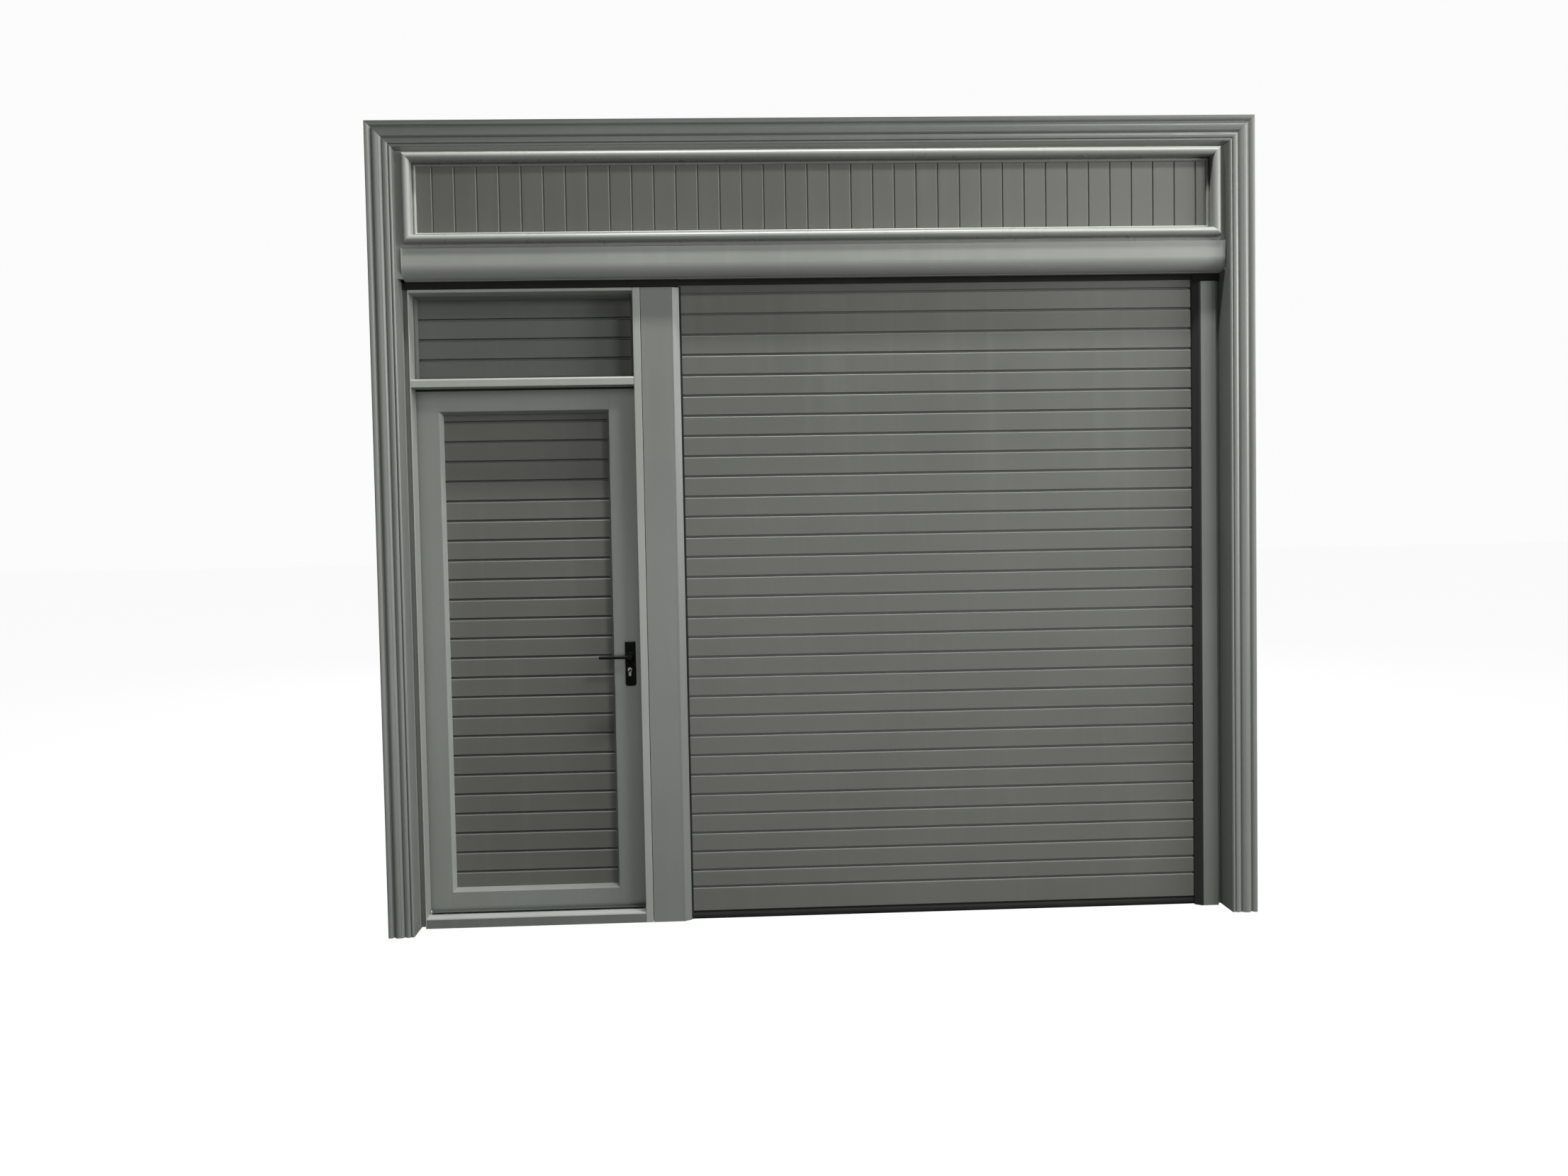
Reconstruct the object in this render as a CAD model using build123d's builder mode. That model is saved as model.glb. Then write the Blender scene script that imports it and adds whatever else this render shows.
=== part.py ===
from build123d import *
import os

# Roller shutter door set: a moulded casing round a roller shutter and a pass
# door with a fixed transom panel.  Millimetres, +Z up, front towards -Y.
# The reference point is the centre of the mullion's foot, on the floor.
# Drawing stations below are taken from the set's centre line (x) and from the
# front face of the frame (y, positive towards the inside); X() and Y() move
# them to the reference point.

MULLION_CENTRE = -616.0      # mullion centre from the set's centre line
FRAME_DEPTH = 140.0          # depth of jambs, mullion and post


def X(x):
    return x - MULLION_CENTRE


def Y(y):
    return y - FRAME_DEPTH / 2


# ---- driving dimensions -------------------------------------------------
HALF_WIDTH = 1670.0          # casing, centre line to outer edge
TOP = 3054.0                 # casing, floor to outer top edge
CASING_W = 97.0              # casing face, outer edge to return
CASING_FRONT = -105.0        # crest of the casing
RET = HALF_WIDTH - CASING_W  # inner face of the casing return (1573)
LINING = 16.0                # thickness of the return

FRAME_OUT = 1600.0           # outer faces of left jamb and right post
FRAME_TOP = 2480.0           # underside of the shutter box
JAMB_L_IN = -1549.0          # left jamb, visible inner edge
JAMB_R_IN = -704.0           # right jamb, visible inner edge
MULLION_L = -674.0
MULLION_R = -558.0
POST_L = 1495.0
STOP_BACK = 80.0             # back of the door stops
HEAD_BOTTOM = 2438.0
BAR_BOTTOM = 2082.0
BAR_TOP = 2114.0
SILL_TOP = 38.0

CURTAIN_FRONT = 22.0
CURTAIN_T = 14.0
CURTAIN_L = -548.0
CURTAIN_R = 1485.0
BOTTOM_BAR_TOP = 132.0
BOTTOM_BAR_LOW = 33.0
GROOVES = ([2428.0 - 77.7 * k for k in range(19)]
           + [1029.4 - 76.7 * k for k in range(1, 9)]
           + [341.0, 267.5, 194.5])

BOX_FRONT = -64.0
BOX_L = -1556.0
BOX_R = 1568.0
BOX_BACK = 300.0
BOX_TOP = 2962.0
FASCIA_LOW = 2592.0
FASCIA_FRONT = -45.0
BOARD_PLANE = -30.0
FIELD = (-1500.0, 1505.0, 2655.0, 2900.0)   # boards: x0, x1, z0, z1
MOULDING_W = 46.0

LEAF_L = -1560.0
LEAF_R = -697.0
LEAF_LOW = 46.0
LEAF_TOP = 2090.0
LEAF_FRONT = 85.0
LEAF_BACK = 140.0
PANEL_OPEN = (-1466.0, -808.0, 114.0, 1999.0)  # opening of the leaf frame
PANEL_FRONT = 121.0
BEAD_W = 12.0

HINGE_X = -1563.0
HINGE_Y = 150.0
HINGE_Z = (280.0, 1100.0, 1880.0)
KNUCKLE_R = 8.0
PIN_R = 4.0
RUN = 0.05                   # running clearance of pin and spindle

SPINDLE_X = -747.0
SPINDLE_Z = 1031.0
PLATE = (-768.0, -727.0, 915.0, 1089.0)
CYL_X = -750.0
CYL_Z = 979.0

os.makedirs("parts", exist_ok=True)


def save(part, name):
    part.label = name
    export_step(part, "parts/" + name + ".step")


def rect(x0, x1, y0, y1):
    """Rectangle between two corners, for use inside a sketch."""
    with Locations(((x0 + x1) / 2, (y0 + y1) / 2)):
        Rectangle(x1 - x0, y1 - y0)


# ---- casing -------------------------------------------------------------
# section as (u, y): u from the outer edge towards the opening
def casing_section(place):
    """Outline of the casing section; place(u, y) gives the sketch point."""
    c = CASING_FRONT
    with BuildLine() as outline:
        Polyline(place(0, c + 24), place(0, c + 7))
        ThreePointArc(place(0, c + 7), place(1.5, c + 4.2), place(4, c + 3))
        Line(place(4, c + 3), place(9, c + 3))
        ThreePointArc(place(9, c + 3), place(17, c + 6.5), place(21, c + 12))
        Line(place(21, c + 12), place(24, c + 12))
        ThreePointArc(place(24, c + 12), place(29, c + 3.6), place(38, c))
        ThreePointArc(place(38, c), place(53, c + 3.4), place(61, c + 12))
        Line(place(61, c + 12), place(63, c + 12))
        Line(place(63, c + 12), place(64, c + 9))
        ThreePointArc(place(64, c + 9), place(74, c + 5), place(84, c + 9))
        Polyline(place(84, c + 9), place(84.5, c + 13), place(86, c + 13))
        ThreePointArc(place(86, c + 13), place(91, c + 7), place(95.5, c + 9.5))
        Line(place(95.5, c + 9.5), place(97, c + 14))
        Polyline(place(97, c + 14), place(97, 0), place(97 + 0 - LINING, 0),
                 place(97 - LINING, c + 24 + 10), place(0, c + 24 + 10),
                 place(0, c + 24))
    return outline.line


MITRE_L = Plane(origin=(X(-HALF_WIDTH), 0, TOP), x_dir=(0, 1, 0), z_dir=(1, 0, 1))
MITRE_R = Plane(origin=(X(HALF_WIDTH), 0, TOP), x_dir=(0, 1, 0), z_dir=(-1, 0, 1))

with BuildPart() as casing_left:
    with BuildSketch(Plane.XY):
        add(casing_section(lambda u, y: (X(-HALF_WIDTH + u), Y(y))))
        make_face()
    extrude(amount=TOP)
    split(bisect_by=MITRE_L, keep=Keep.BOTTOM)
save(casing_left.part, "casing_left")

with BuildPart() as casing_right:
    with BuildSketch(Plane.XY):
        add(casing_section(lambda u, y: (X(HALF_WIDTH - u), Y(y))))
        make_face()
    extrude(amount=TOP)
    split(bisect_by=MITRE_R, keep=Keep.BOTTOM)
save(casing_right.part, "casing_right")

with BuildPart() as casing_head:
    with BuildSketch(Plane.YZ.offset(X(-HALF_WIDTH))):
        add(casing_section(lambda u, y: (Y(y), TOP - u)))
        make_face()
    extrude(amount=2 * HALF_WIDTH)
    split(bisect_by=MITRE_L, keep=Keep.TOP)
    split(bisect_by=MITRE_R, keep=Keep.TOP)
save(casing_head.part, "casing_head")

# ---- fascia panel and its bolection moulding -----------------------------
FASCIA_TOP = TOP - CASING_W
with BuildPart() as fascia_panel:
    with BuildSketch(Plane.XZ.offset(-Y(FASCIA_FRONT + 23))):
        rect(X(-RET), X(RET), FASCIA_LOW, FASCIA_TOP)
    extrude(amount=23)
    with BuildSketch(Plane.XZ.offset(-Y(BOARD_PLANE))):
        rect(X(FIELD[0] - 20), X(FIELD[1] + 20), FIELD[2] - 20, FIELD[3] + 20)
    extrude(amount=40, mode=Mode.SUBTRACT)
save(fascia_panel.part, "fascia_panel")


def moulding_section(place):
    """Outline of the bolection section; v runs from the boards outwards."""
    with BuildLine() as outline:
        Line(place(0, -30), place(0, -34))
        ThreePointArc(place(0, -34), place(5, -41), place(11, -36))
        Polyline(place(11, -36), place(13, -36), place(14, -64))
        ThreePointArc(place(14, -64), place(18, -77), place(29, -82))
        ThreePointArc(place(29, -82), place(41, -77), place(46, -64))
        Polyline(place(46, -64), place(46, -45), place(20, -45),
                 place(20, -30), place(0, -30))
    return outline.line


FX0, FX1, FZ0, FZ1 = FIELD
CORNER_TL = Plane(origin=(X(FX0), 0, FZ1), x_dir=(0, 1, 0), z_dir=(1, 0, 1))
CORNER_BR = Plane(origin=(X(FX1), 0, FZ0), x_dir=(0, 1, 0), z_dir=(1, 0, 1))
CORNER_TR = Plane(origin=(X(FX1), 0, FZ1), x_dir=(0, 1, 0), z_dir=(-1, 0, 1))
CORNER_BL = Plane(origin=(X(FX0), 0, FZ0), x_dir=(0, 1, 0), z_dir=(-1, 0, 1))
LONG_X = FX1 - FX0 + 2 * MOULDING_W + 20
LONG_Z = FZ1 - FZ0 + 2 * MOULDING_W + 20

with BuildPart() as fascia_moulding_top:
    with BuildSketch(Plane.YZ.offset(X(FX0) - MOULDING_W - 10)):
        add(moulding_section(lambda v, y: (Y(y), FZ1 + v)))
        make_face()
    extrude(amount=LONG_X)
    split(bisect_by=CORNER_TL, keep=Keep.TOP)
    split(bisect_by=CORNER_TR, keep=Keep.TOP)
save(fascia_moulding_top.part, "fascia_moulding_top")

with BuildPart() as fascia_moulding_bottom:
    with BuildSketch(Plane.YZ.offset(X(FX0) - MOULDING_W - 10)):
        add(moulding_section(lambda v, y: (Y(y), FZ0 - v)))
        make_face()
    extrude(amount=LONG_X)
    split(bisect_by=CORNER_BL, keep=Keep.BOTTOM)
    split(bisect_by=CORNER_BR, keep=Keep.BOTTOM)
save(fascia_moulding_bottom.part, "fascia_moulding_bottom")

with BuildPart() as fascia_moulding_left:
    with BuildSketch(Plane.XY.offset(FZ0 - MOULDING_W - 10)):
        add(moulding_section(lambda v, y: (X(FX0) - v, Y(y))))
        make_face()
    extrude(amount=LONG_Z)
    split(bisect_by=CORNER_TL, keep=Keep.BOTTOM)
    split(bisect_by=CORNER_BL, keep=Keep.TOP)
save(fascia_moulding_left.part, "fascia_moulding_left")

with BuildPart() as fascia_moulding_right:
    with BuildSketch(Plane.XY.offset(FZ0 - MOULDING_W - 10)):
        add(moulding_section(lambda v, y: (X(FX1) + v, Y(y))))
        make_face()
    extrude(amount=LONG_Z)
    split(bisect_by=CORNER_TR, keep=Keep.BOTTOM)
    split(bisect_by=CORNER_BR, keep=Keep.TOP)
save(fascia_moulding_right.part, "fascia_moulding_right")

# ---- shutter box ---------------------------------------------------------
# front cover: top flange, flat front, quarter-round, short underside
BOX_R_OUT = 52.0
with BuildPart() as box_front:
    with BuildSketch(Plane.YZ.offset(X(BOX_L))):
        with BuildLine():
            zc = FRAME_TOP + BOX_R_OUT
            yc = BOX_FRONT + BOX_R_OUT
            s = BOX_R_OUT * 0.70710678
            t = (BOX_R_OUT - 4) * 0.70710678
            Polyline((Y(yc), FRAME_TOP), (Y(16), FRAME_TOP), (Y(16), FRAME_TOP + 4),
                     (Y(yc), FRAME_TOP + 4))
            ThreePointArc((Y(yc), FRAME_TOP + 4), (Y(yc - t), zc - t),
                          (Y(BOX_FRONT + 4), zc))
            Polyline((Y(BOX_FRONT + 4), zc), (Y(BOX_FRONT + 4), FASCIA_LOW - 4),
                     (Y(FASCIA_FRONT + 23), FASCIA_LOW - 4),
                     (Y(FASCIA_FRONT + 23), FASCIA_LOW), (Y(BOX_FRONT), FASCIA_LOW),
                     (Y(BOX_FRONT), zc))
            ThreePointArc((Y(BOX_FRONT), zc), (Y(yc - s), zc - s), (Y(yc), FRAME_TOP))
        make_face()
    extrude(amount=BOX_R - BOX_L)
save(box_front.part, "box_front")

with BuildPart() as box_soffit:
    with BuildSketch(Plane.XY.offset(FRAME_TOP)):
        rect(X(-1582), X(1582), Y(42), Y(BOX_BACK))
    extrude(amount=4)
save(box_soffit.part, "box_soffit")

with BuildPart() as box_back:
    with BuildSketch(Plane.XZ.offset(-Y(BOX_BACK))):
        rect(X(-1582), X(1582), FRAME_TOP + 4, BOX_TOP - 4)
    extrude(amount=4)
save(box_back.part, "box_back")

with BuildPart() as box_top:
    with BuildSketch(Plane.XY.offset(BOX_TOP - 4)):
        rect(X(-1582), X(1582), Y(0), Y(BOX_BACK))
    extrude(amount=4)
save(box_top.part, "box_top")

with BuildPart() as box_end_left:
    with BuildSketch(Plane.YZ.offset(X(-1592))):
        rect(Y(0), Y(BOX_BACK), FRAME_TOP, BOX_TOP)
    extrude(amount=10)
save(box_end_left.part, "box_end_left")

with BuildPart() as box_end_right:
    with BuildSketch(Plane.YZ.offset(X(1582))):
        rect(Y(0), Y(BOX_BACK), FRAME_TOP, BOX_TOP)
    extrude(amount=10)
save(box_end_right.part, "box_end_right")

# ---- posts ---------------------------------------------------------------
RECESS_LOW = 2450.0                # recess along the frame's top, under the cover
RECESS_DEPTH = 12.0


def cut_recess(x0, x1):
    """Cuts the shadow recess under the box cover from the part being built."""
    with Locations(((X(x0) + X(x1)) / 2, Y((RECESS_DEPTH - 5) / 2),
                    (RECESS_LOW + FRAME_TOP) / 2)):
        Box(x1 - x0, RECESS_DEPTH + 5, FRAME_TOP - RECESS_LOW, mode=Mode.SUBTRACT)


with BuildPart() as mullion_post:
    with BuildSketch(Plane.XY):
        rect(X(MULLION_L), X(MULLION_R), Y(0), Y(FRAME_DEPTH))
    extrude(amount=FRAME_TOP)
    fillet(mullion_post.edges().filter_by(Axis.Z).group_by(Axis.Y)[0], radius=1.5)
    cut_recess(MULLION_L, MULLION_R)
save(mullion_post.part, "mullion_post")

FIX_Z = (400.0, 1900.0)
GAP_DEPTH = 28.0                   # shadow gaps beside the returns
GAP_L = -1552.0
GAP_R = 1557.0
with BuildPart() as post_right:
    with BuildSketch(Plane.XY):
        with BuildLine():
            Polyline((X(POST_L), Y(0)), (X(GAP_R), Y(0)), (X(GAP_R), Y(GAP_DEPTH)),
                     (X(RET), Y(GAP_DEPTH)), (X(RET), Y(0)),
                     (X(FRAME_OUT), Y(0)), (X(FRAME_OUT), Y(FRAME_DEPTH)),
                     (X(POST_L), Y(FRAME_DEPTH)), close=True)
        make_face()
    extrude(amount=FRAME_TOP)
    with BuildSketch(Plane.YZ.offset(X(POST_L))):
        with Locations(*[(Y(100), z) for z in FIX_Z]):
            Circle(4.5)
    extrude(amount=FRAME_OUT - POST_L, mode=Mode.SUBTRACT)
    cut_recess(POST_L, RET)
save(post_right.part, "post_right")

# ---- curtain guides: channels with a splayed front lip --------------------
with BuildPart() as guide_rail_left:
    with BuildSketch(Plane.XY):
        with BuildLine():
            g = MULLION_R
            Polyline((X(g), Y(0)), (X(g + 7), Y(0)), (X(g + 32), Y(17)),
                     (X(g + 32), Y(20)), (X(g + 5), Y(20)), (X(g + 5), Y(42)),
                     (X(g + 32), Y(42)), (X(g + 32), Y(60)), (X(g), Y(60)),
                     close=True)
        make_face()
    extrude(amount=FRAME_TOP)
    cut_recess(MULLION_R, MULLION_R + 40)
save(guide_rail_left.part, "guide_rail_left")

with BuildPart() as guide_rail_right:
    with BuildSketch(Plane.XY):
        with BuildLine():
            g = POST_L
            Polyline((X(g), Y(0)), (X(g - 7), Y(0)), (X(g - 30), Y(17)),
                     (X(g - 30), Y(20)), (X(g - 5), Y(20)), (X(g - 5), Y(42)),
                     (X(g - 30), Y(42)), (X(g - 30), Y(60)), (X(g), Y(60)),
                     close=True)
        make_face()
    extrude(amount=FRAME_TOP)
    cut_recess(POST_L - 40, POST_L)
save(guide_rail_right.part, "guide_rail_right")

# ---- shutter curtain: interlocking slats, bottom bar and seal -------------
with BuildPart() as shutter_curtain:
    with BuildSketch(Plane.YZ.offset(X(CURTAIN_L))):
        with BuildLine():
            f, b = Y(CURTAIN_FRONT), Y(CURTAIN_FRONT + CURTAIN_T)
            pts = [(f, 2560.0)]
            for z in GROOVES:
                pts += [(f, z + 3.0), (f + 4.5, z + 2.0), (f + 4.5, z - 1.0),
                        (f, z - 3.0)]
            pts += [(f, BOTTOM_BAR_TOP), (b, BOTTOM_BAR_TOP)]
            for z in reversed(GROOVES):
                pts += [(b, z - 3.0), (b - 3.0, z - 1.0), (b - 3.0, z + 2.0),
                        (b, z + 3.0)]
            pts += [(b, 2560.0)]
            Polyline(*pts, close=True)
        make_face()
    extrude(amount=CURTAIN_R - CURTAIN_L)
save(shutter_curtain.part, "shutter_curtain")

with BuildPart() as bottom_bar:
    with BuildSketch(Plane.YZ.offset(X(CURTAIN_L))):
        rect(Y(21), Y(38), BOTTOM_BAR_LOW, BOTTOM_BAR_TOP)
    extrude(amount=CURTAIN_R - CURTAIN_L)
    fillet(bottom_bar.edges().filter_by(Axis.X).group_by(Axis.Z)[0], radius=2)
save(bottom_bar.part, "bottom_bar")

with BuildPart() as bottom_seal:
    with BuildSketch(Plane.YZ.offset(X(CURTAIN_L + 2))):
        with BuildLine():
            Polyline((Y(24), BOTTOM_BAR_LOW), (Y(22), 12), (Y(22), 3), (Y(25), 0),
                     (Y(34), 0), (Y(37), 3), (Y(37), 12), (Y(35), BOTTOM_BAR_LOW),
                     close=True)
        make_face()
    extrude(amount=CURTAIN_R - CURTAIN_L - 4)
save(bottom_seal.part, "bottom_seal")

# ---- pass-door frame -------------------------------------------------------
with BuildPart() as jamb_left:
    with BuildSketch(Plane.XY):
        with BuildLine():
            Polyline((X(-FRAME_OUT), Y(0)), (X(-RET), Y(0)),
                     (X(-RET), Y(GAP_DEPTH)), (X(GAP_L), Y(GAP_DEPTH)),
                     (X(GAP_L), Y(0)), (X(JAMB_L_IN), Y(0)),
                     (X(JAMB_L_IN), Y(STOP_BACK)), (X(-1567), Y(STOP_BACK)),
                     (X(-1567), Y(FRAME_DEPTH)), (X(-FRAME_OUT), Y(FRAME_DEPTH)),
                     close=True)
        make_face()
    extrude(amount=FRAME_TOP)
    with BuildSketch(Plane.YZ.offset(X(-FRAME_OUT))):
        with Locations(*[(Y(100), z) for z in FIX_Z]):
            Circle(4.5)
    extrude(amount=60, mode=Mode.SUBTRACT)
    cut_recess(-RET, JAMB_L_IN)
save(jamb_left.part, "jamb_left")

with BuildPart() as jamb_right:
    with BuildSketch(Plane.XY):
        with BuildLine():
            Polyline((X(JAMB_R_IN), Y(0)), (X(MULLION_L), Y(0)),
                     (X(MULLION_L), Y(FRAME_DEPTH)), (X(-688), Y(FRAME_DEPTH)),
                     (X(-688), Y(STOP_BACK)), (X(JAMB_R_IN), Y(STOP_BACK)),
                     close=True)
        make_face()
    extrude(amount=FRAME_TOP)
    fillet(jamb_right.edges().filter_by(Axis.Z).group_by(Axis.Y)[0], radius=1.5)
    cut_recess(JAMB_R_IN, MULLION_L)
save(jamb_right.part, "jamb_right")

with BuildPart() as door_head:
    with BuildSketch(Plane.YZ.offset(X(JAMB_L_IN))):
        with BuildLine():
            Polyline((Y(0), FRAME_TOP), (Y(0), HEAD_BOTTOM + 8), (Y(8), HEAD_BOTTOM),
                     (Y(STOP_BACK), HEAD_BOTTOM), (Y(FRAME_DEPTH), HEAD_BOTTOM),
                     (Y(FRAME_DEPTH), FRAME_TOP), close=True)
        make_face()
    extrude(amount=JAMB_R_IN - JAMB_L_IN)
    cut_recess(JAMB_L_IN, JAMB_R_IN)
save(door_head.part, "door_head")

with BuildPart() as transom_bar:
    with BuildSketch(Plane.YZ.offset(X(JAMB_L_IN))):
        with BuildLine():
            Polyline((Y(0), BAR_BOTTOM), (Y(0), BAR_TOP), (Y(FRAME_DEPTH), BAR_TOP),
                     (Y(FRAME_DEPTH), BAR_BOTTOM + 16), (Y(STOP_BACK), BAR_BOTTOM + 16),
                     (Y(STOP_BACK), BAR_BOTTOM), close=True)
        make_face()
    extrude(amount=JAMB_R_IN - JAMB_L_IN)
    fillet(transom_bar.edges().filter_by(Axis.X).group_by(Axis.Y)[0], radius=1.5)
save(transom_bar.part, "transom_bar")

with BuildPart() as door_sill:
    with BuildSketch(Plane.YZ.offset(X(JAMB_L_IN))):
        rect(Y(0), Y(FRAME_DEPTH), 0, SILL_TOP)
    extrude(amount=JAMB_R_IN - JAMB_L_IN)
    fillet(door_sill.edges().filter_by(Axis.X).group_by(Axis.Y)[0], radius=1.5)
save(door_sill.part, "door_sill")

# fixed slatted panel over the door, with a bead all round
TRANSOM_GROOVES = (2351.0, 2274.0, 2197.0)
with BuildPart() as transom_panel:
    with BuildSketch(Plane.YZ.offset(X(JAMB_L_IN))):
        with BuildLine():
            f, b = Y(90), Y(104)
            pts = [(f, HEAD_BOTTOM)]
            for z in TRANSOM_GROOVES:
                pts += [(f, z + 3.0), (f + 4.5, z + 2.0), (f + 4.5, z - 1.0),
                        (f, z - 3.0)]
            pts += [(f, BAR_TOP), (b, BAR_TOP), (b, HEAD_BOTTOM)]
            Polyline(*pts, close=True)
        make_face()
    extrude(amount=JAMB_R_IN - JAMB_L_IN)
save(transom_panel.part, "transom_panel")

with BuildPart() as transom_beads:
    with BuildSketch(Plane.XZ.offset(-Y(90))):
        rect(X(JAMB_L_IN), X(JAMB_R_IN), BAR_TOP, HEAD_BOTTOM)
    extrude(amount=14)
    with BuildSketch(Plane.XZ.offset(-Y(76))):
        rect(X(JAMB_L_IN + 6), X(JAMB_R_IN - 6), BAR_TOP + 6, HEAD_BOTTOM - 6)
    extrude(amount=-14, taper=30, mode=Mode.SUBTRACT)
save(transom_beads.part, "transom_beads")

# ---- door leaf -------------------------------------------------------------
PX0, PX1, PZ0, PZ1 = PANEL_OPEN

with BuildPart() as leaf_stile_hinge:
    with BuildSketch(Plane.XY.offset(LEAF_LOW)):
        rect(X(LEAF_L), X(PX0), Y(LEAF_FRONT), Y(LEAF_BACK))
    extrude(amount=LEAF_TOP - LEAF_LOW)
save(leaf_stile_hinge.part, "leaf_stile_hinge")


def cylinder_profile(gap=0.0):
    """Euro profile: round head with a narrower rounded leg below."""
    Circle(8.5 + gap)
    with Locations((0, -10)):
        Rectangle(10 + 2 * gap, 20)
    with Locations((0, -20)):
        Circle(5 + gap)


# the cylinder's plane: sketch x = X, sketch y = Z, normal towards the front
CYL_PLANE = Plane(origin=(X(CYL_X), Y(LEAF_BACK + 11), CYL_Z),
                  x_dir=(1, 0, 0), z_dir=(0, -1, 0))
SPINDLE_PLANE = Plane(origin=(X(SPINDLE_X), Y(LEAF_BACK + 20), SPINDLE_Z),
                      x_dir=(1, 0, 0), z_dir=(0, -1, 0))

with BuildPart() as leaf_stile_lock:
    with BuildSketch(Plane.XY.offset(LEAF_LOW)):
        rect(X(PX1), X(LEAF_R), Y(LEAF_FRONT), Y(LEAF_BACK))
    extrude(amount=LEAF_TOP - LEAF_LOW)
    with BuildSketch(SPINDLE_PLANE):
        Circle(PIN_R + RUN)
    extrude(amount=100, mode=Mode.SUBTRACT)
    with BuildSketch(CYL_PLANE):
        cylinder_profile(0.1)
    extrude(amount=100, mode=Mode.SUBTRACT)
save(leaf_stile_lock.part, "leaf_stile_lock")

with BuildPart() as leaf_rail_top:
    with BuildSketch(Plane.YZ.offset(X(PX0))):
        rect(Y(LEAF_FRONT), Y(LEAF_BACK), PZ1, LEAF_TOP)
    extrude(amount=PX1 - PX0)
save(leaf_rail_top.part, "leaf_rail_top")

with BuildPart() as leaf_rail_bottom:
    with BuildSketch(Plane.YZ.offset(X(PX0))):
        rect(Y(LEAF_FRONT), Y(LEAF_BACK), LEAF_LOW, PZ0)
    extrude(amount=PX1 - PX0)
save(leaf_rail_bottom.part, "leaf_rail_bottom")

LEAF_GROOVES = [1959.0 - 77.0 * k for k in range(24)]
with BuildPart() as leaf_panel:
    with BuildSketch(Plane.YZ.offset(X(PX0))):
        with BuildLine():
            f, b = Y(PANEL_FRONT), Y(PANEL_FRONT + 14)
            pts = [(f, PZ1)]
            for z in LEAF_GROOVES:
                pts += [(f, z + 3.0), (f + 4.5, z + 2.0), (f + 4.5, z - 1.0),
                        (f, z - 3.0)]
            pts += [(f, PZ0), (b, PZ0)]
            for z in reversed(LEAF_GROOVES):
                pts += [(b, z - 3.0), (b - 3.0, z - 1.0), (b - 3.0, z + 2.0),
                        (b, z + 3.0)]
            pts += [(b, PZ1)]
            Polyline(*pts, close=True)
        make_face()
    extrude(amount=PX1 - PX0)
save(leaf_panel.part, "leaf_panel")

# sloping bead round the panel, one mitred ring
with BuildPart() as leaf_beads:
    with BuildSketch(Plane.XZ.offset(-Y(PANEL_FRONT))):
        rect(X(PX0), X(PX1), PZ0, PZ1)
    extrude(amount=PANEL_FRONT - LEAF_FRONT - 1)
    with BuildSketch(Plane.XZ.offset(-Y(LEAF_FRONT + 1))):
        rect(X(PX0 + 3), X(PX1 - 3), PZ0 + 3, PZ1 - 3)
    extrude(amount=-(PANEL_FRONT - LEAF_FRONT - 1), taper=14.4, mode=Mode.SUBTRACT)
save(leaf_beads.part, "leaf_beads")

with BuildPart() as leaf_drip:
    with BuildSketch(Plane.YZ.offset(X(JAMB_L_IN + 7))):
        with BuildLine():
            Polyline((Y(LEAF_FRONT), 47), (Y(LEAF_FRONT), 56), (Y(82), 56),
                     (Y(80), 52), (Y(53), 50), (Y(53), 47), close=True)
        make_face()
    extrude(amount=JAMB_R_IN - JAMB_L_IN - 14)
save(leaf_drip.part, "leaf_drip")

# ---- hinges: knuckle hinges on the inner face --------------------------------
with BuildPart() as hinge_jamb:
    for z in HINGE_Z:
        with BuildSketch(Plane.XY.offset(z - 50)):
            rect(X(-1598), X(HINGE_X), Y(FRAME_DEPTH), Y(FRAME_DEPTH + 3))
            with Locations((X(HINGE_X), Y(HINGE_Y))):
                Circle(KNUCKLE_R)
        extrude(amount=50)
        with BuildSketch(Plane.XY.offset(z)):
            with Locations((X(HINGE_X), Y(HINGE_Y))):
                Circle(PIN_R)
        extrude(amount=46)
save(hinge_jamb.part, "hinge_jamb")

with BuildPart() as hinge_leaf:
    for z in HINGE_Z:
        with BuildSketch(Plane.XY.offset(z + 0.5)):
            rect(X(HINGE_X), X(-1526), Y(LEAF_BACK), Y(LEAF_BACK + 3))
            with Locations((X(HINGE_X), Y(HINGE_Y))):
                Circle(KNUCKLE_R)
        extrude(amount=49.5)
    for z in HINGE_Z:
        with BuildSketch(Plane.XY.offset(z + 0.5)):
            with Locations((X(HINGE_X), Y(HINGE_Y))):
                Circle(PIN_R + RUN)
        extrude(amount=46.5, mode=Mode.SUBTRACT)
save(hinge_leaf.part, "hinge_leaf")

# ---- lock furniture ----------------------------------------------------------
with BuildPart() as backplate_outer:
    with BuildSketch(Plane.XZ.offset(-Y(LEAF_FRONT))):
        rect(X(PLATE[0]), X(PLATE[1]), PLATE[2], PLATE[3])
    extrude(amount=8)
    fillet(backplate_outer.edges().filter_by(Axis.Y), radius=6)
    chamfer(backplate_outer.faces().sort_by(Axis.Y)[0].edges(), length=1.5)
    with BuildSketch(Plane.XZ.offset(-Y(LEAF_FRONT - 8))):
        with Locations((X(SPINDLE_X), SPINDLE_Z)):
            Circle(17)
    extrude(amount=4)
    with BuildSketch(SPINDLE_PLANE):
        Circle(PIN_R + RUN)
    extrude(amount=120, mode=Mode.SUBTRACT)
    with BuildSketch(CYL_PLANE):
        cylinder_profile(0.1)
    extrude(amount=120, mode=Mode.SUBTRACT)
save(backplate_outer.part, "backplate_outer")

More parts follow.
